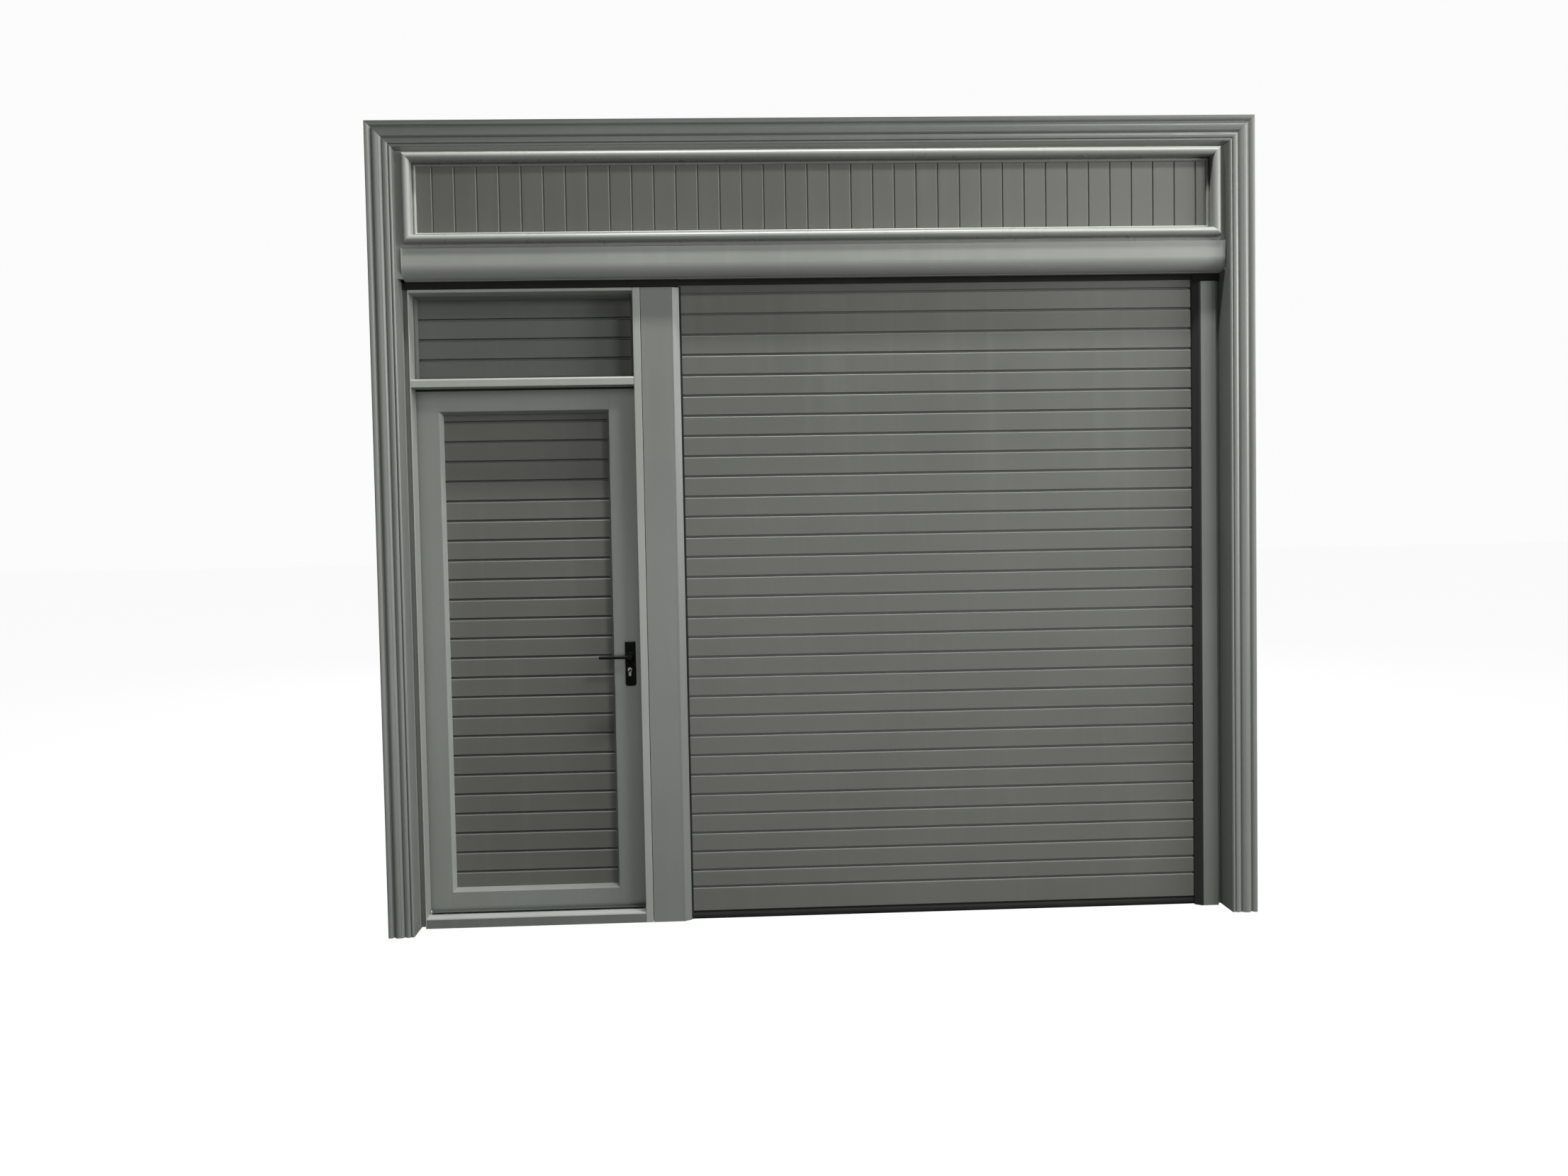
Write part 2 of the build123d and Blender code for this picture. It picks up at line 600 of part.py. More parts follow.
with BuildPart() as backplate_inner:
    with BuildSketch(Plane.XZ.offset(-Y(LEAF_BACK + 8))):
        rect(X(PLATE[0]), X(PLATE[1]), PLATE[2], PLATE[3])
    extrude(amount=8)
    fillet(backplate_inner.edges().filter_by(Axis.Y), radius=6)
    chamfer(backplate_inner.faces().sort_by(Axis.Y)[-1].edges(), length=1.5)
    with BuildSketch(Plane.XZ.offset(-Y(LEAF_BACK + 12))):
        with Locations((X(SPINDLE_X), SPINDLE_Z)):
            Circle(17)
    extrude(amount=4)
    with BuildSketch(SPINDLE_PLANE):
        Circle(PIN_R + RUN)
    extrude(amount=120, mode=Mode.SUBTRACT)
    with BuildSketch(CYL_PLANE):
        cylinder_profile(0.1)
    extrude(amount=120, mode=Mode.SUBTRACT)
save(backplate_inner.part, "backplate_inner")

with BuildPart() as lock_cylinder:
    with BuildSketch(CYL_PLANE):
        cylinder_profile()
    extrude(amount=LEAF_BACK + 11 - (LEAF_FRONT - 11))
save(lock_cylinder.part, "lock_cylinder")

with BuildPart() as lever_outer:
    with BuildSketch(Plane.XZ.offset(-Y(LEAF_FRONT - 12.5))):
        with Locations((X(SPINDLE_X), SPINDLE_Z)):
            Circle(10)
    extrude(amount=LEAF_FRONT - 12.5 - 36)
    with BuildSketch(Plane.YZ.offset(X(SPINDLE_X - 120))):
        with Locations((Y(44), SPINDLE_Z)):
            RectangleRounded(18, 10, 4)
    extrude(amount=120)
    with BuildSketch(Plane.XZ.offset(-Y(LEAF_BACK + 12.5))):
        with Locations((X(SPINDLE_X), SPINDLE_Z)):
            Circle(PIN_R)
    extrude(amount=LEAF_BACK + 12.5 - (LEAF_FRONT - 12.5))
save(lever_outer.part, "lever_outer")

with BuildPart() as lever_inner:
    with BuildSketch(Plane.XZ.offset(-Y(LEAF_BACK + 50))):
        with Locations((X(SPINDLE_X), SPINDLE_Z)):
            Circle(10)
    extrude(amount=37.5)
    with BuildSketch(Plane.YZ.offset(X(SPINDLE_X - 120))):
        with Locations((Y(LEAF_BACK + 41), SPINDLE_Z)):
            RectangleRounded(18, 10, 4)
    extrude(amount=120)
save(lever_inner.part, "lever_inner")
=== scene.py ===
import bpy
import bmesh
import math
from mathutils import Matrix, Vector


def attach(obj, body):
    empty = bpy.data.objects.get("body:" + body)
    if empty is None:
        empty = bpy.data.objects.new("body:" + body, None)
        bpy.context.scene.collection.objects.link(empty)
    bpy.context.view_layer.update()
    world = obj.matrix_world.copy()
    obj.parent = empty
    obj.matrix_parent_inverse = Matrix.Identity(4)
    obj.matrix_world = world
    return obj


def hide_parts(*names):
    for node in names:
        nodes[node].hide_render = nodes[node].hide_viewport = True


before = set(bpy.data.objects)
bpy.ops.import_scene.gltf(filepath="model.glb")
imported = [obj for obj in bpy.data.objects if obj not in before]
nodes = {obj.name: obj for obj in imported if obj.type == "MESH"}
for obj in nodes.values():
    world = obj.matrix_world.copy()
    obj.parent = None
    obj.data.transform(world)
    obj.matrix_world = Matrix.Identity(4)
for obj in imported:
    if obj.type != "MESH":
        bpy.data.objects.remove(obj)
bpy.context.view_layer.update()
scene = bpy.context.scene


# ======================================================================
# stations: x from the set's centre line, y from the frame's front face,
# z from the floor, all in millimetres; P() gives metres in the part frame
# ======================================================================
def P(x, y, z):
    return ((x + 616.0) / 1000.0, (y - 70.0) / 1000.0, z / 1000.0)


# ======================================================================
# materials
# ======================================================================
def nodes_of(name):
    m = bpy.data.materials.new(name)
    m.use_nodes = True
    nt = m.node_tree
    nt.nodes.clear()
    out = nt.nodes.new("ShaderNodeOutputMaterial")
    bsdf = nt.nodes.new("ShaderNodeBsdfPrincipled")
    nt.links.new(bsdf.outputs["BSDF"], out.inputs["Surface"])
    return m, nt, bsdf


def coords(nt, scale):
    tc = nt.nodes.new("ShaderNodeTexCoord")
    mp = nt.nodes.new("ShaderNodeMapping")
    mp.inputs["Scale"].default_value = scale
    nt.links.new(tc.outputs["Object"], mp.inputs["Vector"])
    return mp.outputs["Vector"]


def noise(nt, vector, scale, detail=3.0, rough=0.5):
    n = nt.nodes.new("ShaderNodeTexNoise")
    n.inputs["Scale"].default_value = scale
    n.inputs["Detail"].default_value = detail
    n.inputs["Roughness"].default_value = rough
    nt.links.new(vector, n.inputs["Vector"])
    return n.outputs["Fac"]


def ramp(nt, fac, lo, hi, c0, c1):
    r = nt.nodes.new("ShaderNodeMapRange")
    r.inputs["From Min"].default_value = lo
    r.inputs["From Max"].default_value = hi
    r.inputs["To Min"].default_value = c0
    r.inputs["To Max"].default_value = c1
    nt.links.new(fac, r.inputs["Value"])
    return r.outputs["Result"]


def mix(nt, fac, a, b):
    m = nt.nodes.new("ShaderNodeMix")
    m.data_type = "RGBA"
    for socket, value in ((m.inputs[6], a), (m.inputs[7], b)):
        if isinstance(value, tuple):
            socket.default_value = value
        else:
            nt.links.new(value, socket)
    if isinstance(fac, float):
        m.inputs[0].default_value = fac
    else:
        nt.links.new(fac, m.inputs[0])
    return m.outputs[2]


def maths(nt, op, a, b=None):
    m = nt.nodes.new("ShaderNodeMath")
    m.operation = op
    for socket, value in ((m.inputs[0], a), (m.inputs[1], b)):
        if value is None:
            continue
        if isinstance(value, (int, float)):
            socket.default_value = value
        else:
            nt.links.new(value, socket)
    return m.outputs[0]


def bump(nt, bsdf, height, distance, strength=0.5):
    b = nt.nodes.new("ShaderNodeBump")
    b.inputs["Strength"].default_value = strength
    b.inputs["Distance"].default_value = distance
    nt.links.new(height, b.inputs["Height"])
    nt.links.new(b.outputs["Normal"], bsdf.inputs["Normal"])


def rgba(r, g, b, k=1.0):
    return (r * k, g * k, b * k, 1.0)


def coat(name, colour, rough=0.42, grain=900.0, dust=0.05, streak=0.05, specular=0.5):
    """Satin polyester powder coat: orange-peel bump, slow tone drift,
    faint rain streaks down the faces and a film of dust."""
    m, nt, bsdf = nodes_of(name)
    obj = coords(nt, (1.0, 1.0, 1.0))
    drift = noise(nt, obj, 1.6, 3.0, 0.55)
    runs = noise(nt, coords(nt, (26.0, 26.0, 1.3)), 1.0, 5.0, 0.6)
    speck = noise(nt, obj, 140.0, 4.0, 0.7)
    dark = tuple(c * (1.0 - 1.2 * dust) for c in colour)
    light = tuple(c * (1.0 + dust) for c in colour)
    base = mix(nt, ramp(nt, drift, 0.3, 0.7, 0.0, 1.0), rgba(*dark), rgba(*light))
    pale = tuple(min(1.0, c * 1.22 + 0.012) for c in colour)
    base = mix(nt, ramp(nt, runs, 0.52, 0.8, 0.0, streak * 4.0), base, rgba(*pale))
    base = mix(nt, ramp(nt, speck, 0.55, 0.75, 0.0, 0.12), base, rgba(*dark, k=0.8))
    nt.links.new(base, bsdf.inputs["Base Color"])
    nt.links.new(ramp(nt, runs, 0.3, 0.75, rough - 0.05, rough + 0.09), bsdf.inputs["Roughness"])
    bsdf.inputs["Specular IOR Level"].default_value = specular
    peel = noise(nt, obj, grain, 2.0, 0.5)
    bump(nt, bsdf, peel, 0.0002, 0.35)
    return m


POWDER = (0.161, 0.171, 0.155)     # grey coat of the frame, casing and leaf
SLAT = (0.1018, 0.1050, 0.0925)       # coat of the slats, a touch warmer
m_frame = coat("coat_frame", POWDER, 0.40)
# painted light: the frame's coat made 1.7 times lighter for the jambs, door head, transom bar and box end caps, a lit
# copy of the same coat
m_frame_painted_light = coat("coat_jamb_painted_light", tuple(c * 1.70 for c in POWDER), 0.38)
m_case = coat("coat_casing", (0.175, 0.182, 0.168), 0.36)
# painted light: a coat about twice as light as the frame's, which brightens the mouldings' lit flanks and stands in for
# their highlights
m_mould_painted_light = coat("coat_moulding_painted_light", (0.330, 0.338, 0.312), 0.30, streak=0.03)
m_board = coat("coat_boards", (0.1380, 0.1410, 0.1256), 0.45)
m_box = coat("coat_box", (0.232, 0.238, 0.222), 0.40)
m_leaf = coat("coat_leaf", (0.184, 0.198, 0.180), 0.42)
m_slat = coat("coat_slats", SLAT, 0.44, streak=0.07)
m_panel = coat("coat_panel", (0.1110, 0.1132, 0.1000), 0.46, streak=0.07)
# painted shade: a near-black copy of the coat for the right guide, which faces away from the light
m_guide_painted_shade = coat("coat_guide_painted_shade", (0.024, 0.025, 0.024), 0.50, streak=0.02, specular=0.13)
# painted shade: the panel's coat made darker for the panel and beads over the door, which lie in the shade under the
# box cover
m_panel_painted_shade = coat("coat_panel_painted_shade", (0.0770, 0.0840, 0.0725), 0.46, streak=0.07)
m_drip = coat("coat_drip", (0.125, 0.137, 0.126), 0.5, dust=0.08)
m_sill = coat("coat_sill", (0.124, 0.132, 0.122), 0.45, dust=0.10, streak=0.09)
m_tread = coat("anodised_tread", (0.35, 0.36, 0.34), 0.40, dust=0.08)
m_back = coat("coat_back", (0.135, 0.145, 0.135), 0.5, dust=0.09, streak=0.09)


def rubber(name, colour, rough=0.75, ribs=0.0):
    m, nt, bsdf = nodes_of(name)
    obj = coords(nt, (1.0, 1.0, 1.0))
    speck = noise(nt, obj, 320.0, 5.0, 0.7)
    drift = noise(nt, obj, 7.0, 4.0, 0.6)
    pale = tuple(c * 2.2 + 0.006 for c in colour)
    base = mix(nt, ramp(nt, drift, 0.5, 0.8, 0.0, 0.45), rgba(*colour), rgba(*pale))
    base = mix(nt, ramp(nt, speck, 0.62, 0.8, 0.0, 0.35), base, rgba(*pale))
    nt.links.new(base, bsdf.inputs["Base Color"])
    nt.links.new(ramp(nt, drift, 0.3, 0.8, rough - 0.1, rough + 0.1), bsdf.inputs["Roughness"])
    bsdf.inputs["Specular IOR Level"].default_value = 0.22
    bump(nt, bsdf, speck, 0.0004, 0.5)
    return m


m_rubber = rubber("rubber_black", (0.010, 0.010, 0.010))
m_brush = rubber("brush_pile", (0.014, 0.014, 0.013), 0.9)


def black_coat(name):
    """Black satin lacquer of the lock furniture, with faint lighter smears of wear in places."""
    m, nt, bsdf = nodes_of(name)
    obj = coords(nt, (1.0, 1.0, 1.0))
    grain = noise(nt, obj, 700.0, 3.0, 0.6)
    smear = noise(nt, coords(nt, (60.0, 20.0, 30.0)), 1.0, 4.0, 0.6)
    base = mix(nt, ramp(nt, smear, 0.45, 0.75, 0.0, 0.5), rgba(0.0040, 0.0046, 0.0040), rgba(0.0085, 0.0095, 0.0085))
    nt.links.new(base, bsdf.inputs["Base Color"])
    nt.links.new(ramp(nt, smear, 0.3, 0.75, 0.34, 0.46), bsdf.inputs["Roughness"])
    bsdf.inputs["Specular IOR Level"].default_value = 0.16
    bump(nt, bsdf, grain, 0.00015, 0.4)
    return m


m_black = black_coat("lacquer_black")


def metal(name, colour, rough=0.28, brushed=(900.0, 30.0, 30.0), tarnish=0.5, metallic=1.0):
    m, nt, bsdf = nodes_of(name)
    line = noise(nt, coords(nt, brushed), 1.0, 3.0, 0.6)
    spot = noise(nt, coords(nt, (1.0, 1.0, 1.0)), 60.0, 5.0, 0.65)
    dull = tuple(c * tarnish for c in colour)
    base = mix(nt, ramp(nt, spot, 0.48, 0.78, 0.0, 0.6), rgba(*colour), rgba(*dull))
    nt.links.new(base, bsdf.inputs["Base Color"])
    bsdf.inputs["Metallic"].default_value = metallic
    nt.links.new(ramp(nt, line, 0.3, 0.7, rough - 0.06, rough + 0.1), bsdf.inputs["Roughness"])
    bump(nt, bsdf, line, 0.0001, 0.3)
    return m


m_nickel = metal("nickel_satin", (0.88, 0.87, 0.835), 0.28, tarnish=0.75, metallic=0.30)
m_zinc = metal("zinc_plated", (0.55, 0.56, 0.56), 0.38, (200.0, 200.0, 200.0), 0.7)
m_galv = metal("steel_galvanised", (0.46, 0.47, 0.48), 0.42, (40.0, 40.0, 40.0), 0.75)


# ======================================================================
# mesh helpers
# ======================================================================
PIECES = []


def finish_mesh(name, verts, faces, mat, body, replaces=(), sharp=34.0, slot=None, weighted=True):
    me = bpy.data.meshes.new(name)
    me.from_pydata([Vector(v) for v in verts], [], faces)
    bm = bmesh.new()
    bm.from_mesh(me)
    bmesh.ops.remove_doubles(bm, verts=bm.verts, dist=1e-6)
    bmesh.ops.recalc_face_normals(bm, faces=bm.faces)
    bm.to_mesh(me)
    bm.free()
    me.polygons.foreach_set("use_smooth", [True] * len(me.polygons))
    me.set_sharp_from_angle(angle=math.radians(sharp))
    me.materials.append(mat)
    ob = bpy.data.objects.new(name, me)
    scene.collection.objects.link(ob)
    if weighted:
        w = ob.modifiers.new("weighted", "WEIGHTED_NORMAL")
        w.keep_sharp = True
        w.weight = 80
    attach(ob, body)
    if replaces:
        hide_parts(*replaces)
    PIECES.append(ob)
    return ob


def rounded(corners, seg=4):
    """Closed outline whose corners (a, b, r) are rounded to radius r."""
    out = []
    n = len(corners)
    for i in range(n):
        c = corners[i]
        p = Vector((c[0], c[1]))
        r = c[2] if len(c) > 2 else 0.0
        if r <= 0.0:
            out.append((p.x, p.y))
            continue
        a = Vector(corners[i - 1][:2]) - p
        b = Vector(corners[(i + 1) % n][:2]) - p
        la, lb = a.length, b.length
        a.normalize()
        b.normalize()
        ang = math.acos(max(-1.0, min(1.0, a.dot(b))))
        if ang > 3.05:
            out.append((p.x, p.y))
            continue
        t = min(r / math.tan(ang / 2), 0.48 * la, 0.48 * lb)
        rr = t * math.tan(ang / 2)
        centre = p + (a + b).normalized() * (rr / math.sin(ang / 2))
        s, e = p + a * t, p + b * t
        a0 = math.atan2(s.y - centre.y, s.x - centre.x)
        a1 = math.atan2(e.y - centre.y, e.x - centre.x)
        d = (a1 - a0 + math.pi) % (2 * math.pi) - math.pi
        for k in range(seg + 1):
            g = a0 + d * k / seg
            out.append((centre.x + rr * math.cos(g), centre.y + rr * math.sin(g)))
    return out


def arc3(p0, pm, p1, n=8):
    """Points of the arc from p0 through pm to p1, both ends included."""
    ax, ay = p0
    bx, by = pm
    cx, cy = p1
    d = 2 * (ax * (by - cy) + bx * (cy - ay) + cx * (ay - by))
    ux = ((ax * ax + ay * ay) * (by - cy) + (bx * bx + by * by) * (cy - ay) + (cx * cx + cy * cy) * (ay - by)) / d
    uy = ((ax * ax + ay * ay) * (cx - bx) + (bx * bx + by * by) * (ax - cx) + (cx * cx + cy * cy) * (bx - ax)) / d
    r = math.hypot(ax - ux, ay - uy)
    a0 = math.atan2(ay - uy, ax - ux)
    am = math.atan2(by - uy, bx - ux)
    a1 = math.atan2(cy - uy, cx - ux)
    two = 2 * math.pi
    sweep = (a1 - a0) % two
    if (am - a0) % two > sweep:
        sweep -= two
    return [(ux + r * math.cos(a0 + sweep * k / n), uy + r * math.sin(a0 + sweep * k / n)) for k in range(n + 1)]


def tube(verts, faces, outline, stations, caps=True):
    """Adds a bar to verts and faces: the outline carried through the stations,
    each a function that takes an outline point to a place in the part frame."""
    base = len(verts)
    n = len(outline)
    for place in stations:
        verts.extend(place(p) for p in outline)
    for s in range(len(stations) - 1):
        for i in range(n):
            j = (i + 1) % n
            a = base + s * n
            faces.append((a + i, a + j, a + n + j, a + n + i))
    if caps:
        faces.append(tuple(range(base, base + n)))
        last = base + (len(stations) - 1) * n
        faces.append(tuple(range(last + n - 1, last - 1, -1)))


def bar(name, outline, stations, mat, body, replaces=(), **kw):
    v, f = [], []
    tube(v, f, outline, stations)
    return finish_mesh(name, v, f, mat, body, replaces, **kw)


def along_z(z0, z1):
    return [lambda p: P(p[0], p[1], z0), lambda p: P(p[0], p[1], z1)]


def up_to_recess(z0):
    """Stations of an upright whose front steps back under the box cover."""
    return [lambda p: P(p[0], p[1], z0), lambda p: P(p[0], p[1], 2449.2),
            lambda p: P(p[0], max(p[1], 0.8), 2450), lambda p: P(p[0], max(p[1], 12.0), 2450),
            lambda p: P(p[0], max(p[1], 12.0), 2480)]


def along_x(x0, x1):
    """The outline's points are (y, z)."""
    return [lambda p: P(x0, p[0], p[1]), lambda p: P(x1, p[0], p[1])]


def plate_y(v, f, outline, y0, y1):
    """A flat plate with outline (x, z) between two depths."""
    tube(v, f, outline, [lambda p: P(p[0], y0, p[1]), lambda p: P(p[0], y1, p[1])])


def dome(v, f, x, z, y, r, h, seg=16, rings=4, out=-1.0):
    """A low domed cap standing out from the face at y, as a rivet or screw cap."""
    base = len(v)
    for k in range(rings + 1):
        t = (math.pi / 2) * k / rings
        rr, yy = r * math.cos(t), y + out * h * math.sin(t)
        if k == rings:
            v.append(P(x, yy, z))
            break
        for i in range(seg):
            g = 2 * math.pi * i / seg
            v.append(P(x + rr * math.cos(g), yy, z + rr * math.sin(g)))
    for k in range(rings - 1):
        for i in range(seg):
            j = (i + 1) % seg
            a = base + k * seg
            f.append((a + i, a + j, a + seg + j, a + seg + i))
    tip = base + rings * seg
    a = base + (rings - 1) * seg
    for i in range(seg):
        f.append((a + i, a + (i + 1) % seg, tip))
    f.append(tuple(range(base + seg - 1, base - 1, -1)))


# ======================================================================
# casing
# ======================================================================
HW, TOP = 1670.0, 3054.0
C = -105.0


def casing_outline():
    o = []
    o += arc3((0, C + 8), (1.3, C + 4.6), (4.5, C + 3), 5)
    o += arc3((9, C + 3), (16.5, C + 6.0), (20.5, C + 12), 9)
    o += [(21.3, C + 12.8), (23.7, C + 12.8), (24.5, C + 12)]
    o += arc3((24.5, C + 11.6), (29.0, C + 4.0), (37, C + 0.2), 9)
    o += arc3((37.5, C), (44, C + 0.2), (49, C + 1.6), 6)
    o += [(49.6, C + 2.4), (50.4, C + 2.4)]
    o += arc3((51, C + 1.9), (57.5, C + 5.5), (61, C + 12), 7)
    o += [(61.6, C + 12.8), (63.2, C + 12.8)]
    o += arc3((64, C + 9.5), (66, C + 7.4), (69, C + 6.5), 4)
    o += arc3((69.5, C + 6.3), (76, C + 5.0), (81, C + 6.2), 7)
    o += arc3((81.5, C + 6.5), (83.6, C + 8.0), (84.3, C + 11), 4)
    o += [(84.6, C + 13.0), (86.0, C + 13.0)]
    o += arc3((86.3, C + 12.0), (90.8, C + 7.0), (95.0, C + 9.0), 8)
    o += arc3((95.5, C + 9.5), (96.7, C + 11.2), (97, C + 14), 4)
    o += [(97, -1.0), (96.2, 0), (81, 0), (81, C + 34), (0, C + 34)]
    return o


section = casing_outline()
bar("casing_left_profile", section,
    [lambda p: P(-HW + p[0], p[1], 0), lambda p: P(-HW + p[0], p[1], TOP - p[0])],
    m_case, "frame", ("casing_left",), slot="powder_coat", sharp=30)
bar("casing_right_profile", section,
    [lambda p: P(HW - p[0], p[1], 0), lambda p: P(HW - p[0], p[1], TOP - p[0])],
    m_case, "frame", ("casing_right",), slot="powder_coat", sharp=30)
bar("casing_head_profile", section,
    [lambda p: P(-HW + p[0], p[1], TOP - p[0]), lambda p: P(HW - p[0], p[1], TOP - p[0])],
    m_case, "frame", ("casing_head",), slot="powder_coat", sharp=30)

# ======================================================================
# fascia: surround, boards and bolection moulding
# ======================================================================
FX0, FX1, FZ0, FZ1 = -1500.0, 1505.0, 2655.0, 2900.0
v, f = [], []
outer = (-1573.0, 1573.0, 2592.0, 2957.0)
inner = (FX0 - 20, FX1 + 20, FZ0 - 20, FZ1 + 20)


def ring(v, f, o, i, y0, y1):
    """Rectangular ring o = (x0, x1, z0, z1) with opening i between depths y0 and y1."""
    base = len(v)
    for y in (y0, y1):
        for (x0, x1, z0, z1) in (o, i):
            v.extend((P(x0, y, z0), P(x1, y, z0), P(x1, y, z1), P(x0, y, z1)))
    for k in range(4):
        j = (k + 1) % 4
        f.append((base + k, base + j, base + 4 + j, base + 4 + k))
        f.append((base + 8 + k, base + 8 + j, base + 12 + j, base + 12 + k))
        f.append((base + k, base + j, base + 8 + j, base + 8 + k))
        f.append((base + 4 + k, base + 4 + j, base + 12 + j, base + 12 + k))


ring(v, f, outer, inner, -45.0, -22.0)
# the surround takes the mouldings' lighter coat: painted light that lifts the shade it lies in between casing and
# mouldings
finish_mesh("fascia_surround", v, f, m_mould_painted_light, "frame", ("fascia_panel",), slot="powder_coat")

# vertical boards with V joints, one run across the field
BOARD_Y, V_D, V_W = -31.0, 4.2, 4.3
edges = [-1440.5 + 83.03 * k for k in range(36)]
line = [(FX0 - 20, BOARD_Y)]
for x in edges:
    line += [(x - V_W - 0.6, BOARD_Y), (x - V_W + 0.1, BOARD_Y + 0.35), (x - 0.3, BOARD_Y + V_D),
             (x + 0.5, BOARD_Y + V_D), (x + 2.6, BOARD_Y + 0.35), (x + 3.2, BOARD_Y)]
line += [(FX1 + 20, BOARD_Y), (FX1 + 20, -23.0), (FX0 - 20, -23.0)]
bar("fascia_boards", line, along_z(FZ0 - 20, FZ1 + 20), m_board, "frame", slot="powder_coat", sharp=20)


def moulding_outline():
    o = [(0, -30.2), (0, -34)]
    o += arc3((0.2, -36.0), (5, -41), (10.6, -37.2), 8)
    o += [(11.2, -35.6), (12.8, -35.6)]
    o += [(13.2, -38), (13.5, -50)]
    o += arc3((14, -64), (17.6, -76.6), (28.4, -81.8), 12)
    o += arc3((29, -82), (41, -77), (46, -64), 12)
    o += [(46, -62.5), (46, -45.2), (20, -45.2), (20, -30.2)]
    return o


mo = moulding_outline()
for name, a, b in (
    ("top", lambda p: P(FX0 - p[0], p[1], FZ1 + p[0]), lambda p: P(FX1 + p[0], p[1], FZ1 + p[0])),
    ("bottom", lambda p: P(FX0 - p[0], p[1], FZ0 - p[0]), lambda p: P(FX1 + p[0], p[1], FZ0 - p[0])),
    ("left", lambda p: P(FX0 - p[0], p[1], FZ0 - p[0]), lambda p: P(FX0 - p[0], p[1], FZ1 + p[0])),
    ("right", lambda p: P(FX1 + p[0], p[1], FZ0 - p[0]), lambda p: P(FX1 + p[0], p[1], FZ1 + p[0])),
):
    bar("bolection_" + name, mo, [a, b], m_mould_painted_light, "frame", ("fascia_moulding_" + name,),
        slot="powder_coat", sharp=30)

# ======================================================================
# shutter box
# ======================================================================
BOX_L, BOX_R = -1556.0, 1568.0
zc, yc = 2532.0, -12.0


def box_outline():
    o = [(-45.4, 2592.0)]
    o += arc3((-62.5, 2592.0), (-63.6, 2591.6), (-64, 2590.5), 3)
    o += arc3((-64, zc), (yc - 52 * math.cos(math.pi / 4), zc - 52 * math.sin(math.pi / 4)), (yc - 3.6, 2480.2), 22)
    # small bead along the lower edge
    o += [(yc - 3.2, 2479.0), (yc - 1.6, 2478.4), (yc + 0.4, 2479.0), (yc + 1.0, 2480.4)]
    o += [(15.0, 2480.4), (16.0, 2481.2), (16.0, 2484.0), (yc, 2484.0)]
    o += list(reversed(arc3((-60, zc), (yc - 48 * math.cos(math.pi / 4), zc - 48 * math.sin(math.pi / 4)), (yc, 2484.0), 14)))[1:]
    o += [(-60.0, 2588.0), (-45.4, 2588.0)]
    return o


bar("box_cover", box_outline(), along_x(BOX_L + 3, BOX_R - 3), m_box, "frame", ("box_front",),
    slot="powder_coat", sharp=30)

# end caps of the cover
v, f = [], []
cap = [(-45.0, 2592.6), (-64.8, 2592.6)]
cap += arc3((-64.8, zc), (yc - 52.8 * math.cos(math.pi / 4), zc - 52.8 * math.sin(math.pi / 4)), (yc, 2479.2), 20)
cap += [(15.5, 2479.2), (15.5, 2592.6)]
tube(v, f, cap, along_x(BOX_L, BOX_L + 3))
tube(v, f, cap, along_x(BOX_R - 3, BOX_R))
finish_mesh("box_end_caps", v, f, m_frame_painted_light, "frame", slot="powder_coat")

# closing strips between the cover's ends and the casing returns
v, f = [], []
for x0, x1 in ((-1573.0, BOX_L), (BOX_R, 1573.0)):
    tube(v, f, rounded([(-52.0, 2481.0, 2.0), (-52.0, 2592.0), (-40.0, 2592.0), (-40.0, 2481.0)]), along_x(x0, x1))
finish_mesh("box_closers", v, f, m_case, "frame", slot="powder_coat")

# ======================================================================
# posts, jambs, head, bars
# ======================================================================
bar("mullion_cover", rounded([(-673.2, 0, 1.6), (-558, 0, 1.6), (-558, 140, 1), (-673.2, 140, 1)]),
    up_to_recess(0), m_frame, "frame", ("mullion_post",), slot="powder_coat")
bar("post_right_cover", rounded([(1495, 0, 1.6), (1557, 0, 4.0), (1557, 28, 1.0), (1573, 28), (1573, 0.2), (1600, 0.2),
                                 (1600, 140, 1), (1495, 140, 1)]),
    up_to_recess(0), m_frame, "frame", ("post_right",), slot="powder_coat")
bar("jamb_left_profile", rounded([(-1600, 0.2), (-1573, 0.2), (-1573, 28), (-1552.4, 28, 1.0), (-1552.4, 0, 1.2),
                                  (-1549, 0, 1.6), (-1549, 80, 1.2), (-1567, 80, 0.6),
                                  (-1567, 140, 1), (-1600, 140, 1)]),
    up_to_recess(0), m_frame_painted_light, "frame", ("jamb_left",), slot="powder_coat")
bar("jamb_right_profile", rounded([(-704, 0, 3.0), (-674.8, 0, 1.6), (-674.8, 140, 1), (-688, 140, 1),
                                   (-688, 80, 0.6), (-704, 80, 1.2)]),
    up_to_recess(0), m_frame_painted_light, "frame", ("jamb_right",), slot="powder_coat")
bar("head_profile", rounded([(12, 2480), (12, 2450), (0, 2450, 0.8), (0, 2438, 6), (80, 2438, 1), (140, 2438, 1),
                             (140, 2480)]),
    along_x(-1549, -704), m_frame_painted_light, "frame", ("door_head",), slot="powder_coat")
bar("transom_profile", rounded([(0, 2082, 1.6), (0, 2107.5, 2.0), (5.5, 2114, 2.0), (140, 2114, 1), (140, 2098, 1),
                                (80, 2098, 0.6), (80, 2082, 1.2)]),
    along_x(-1549, -704), m_frame_painted_light, "frame", ("transom_bar",), slot="powder_coat")
bar("sill_profile", rounded([(0.6, 0), (0.6, 35.6, 1.0), (139.4, 35.6, 1), (139.4, 0)]),
    along_x(-1549, -704), m_sill, "frame", ("door_sill",), slot="powder_coat")
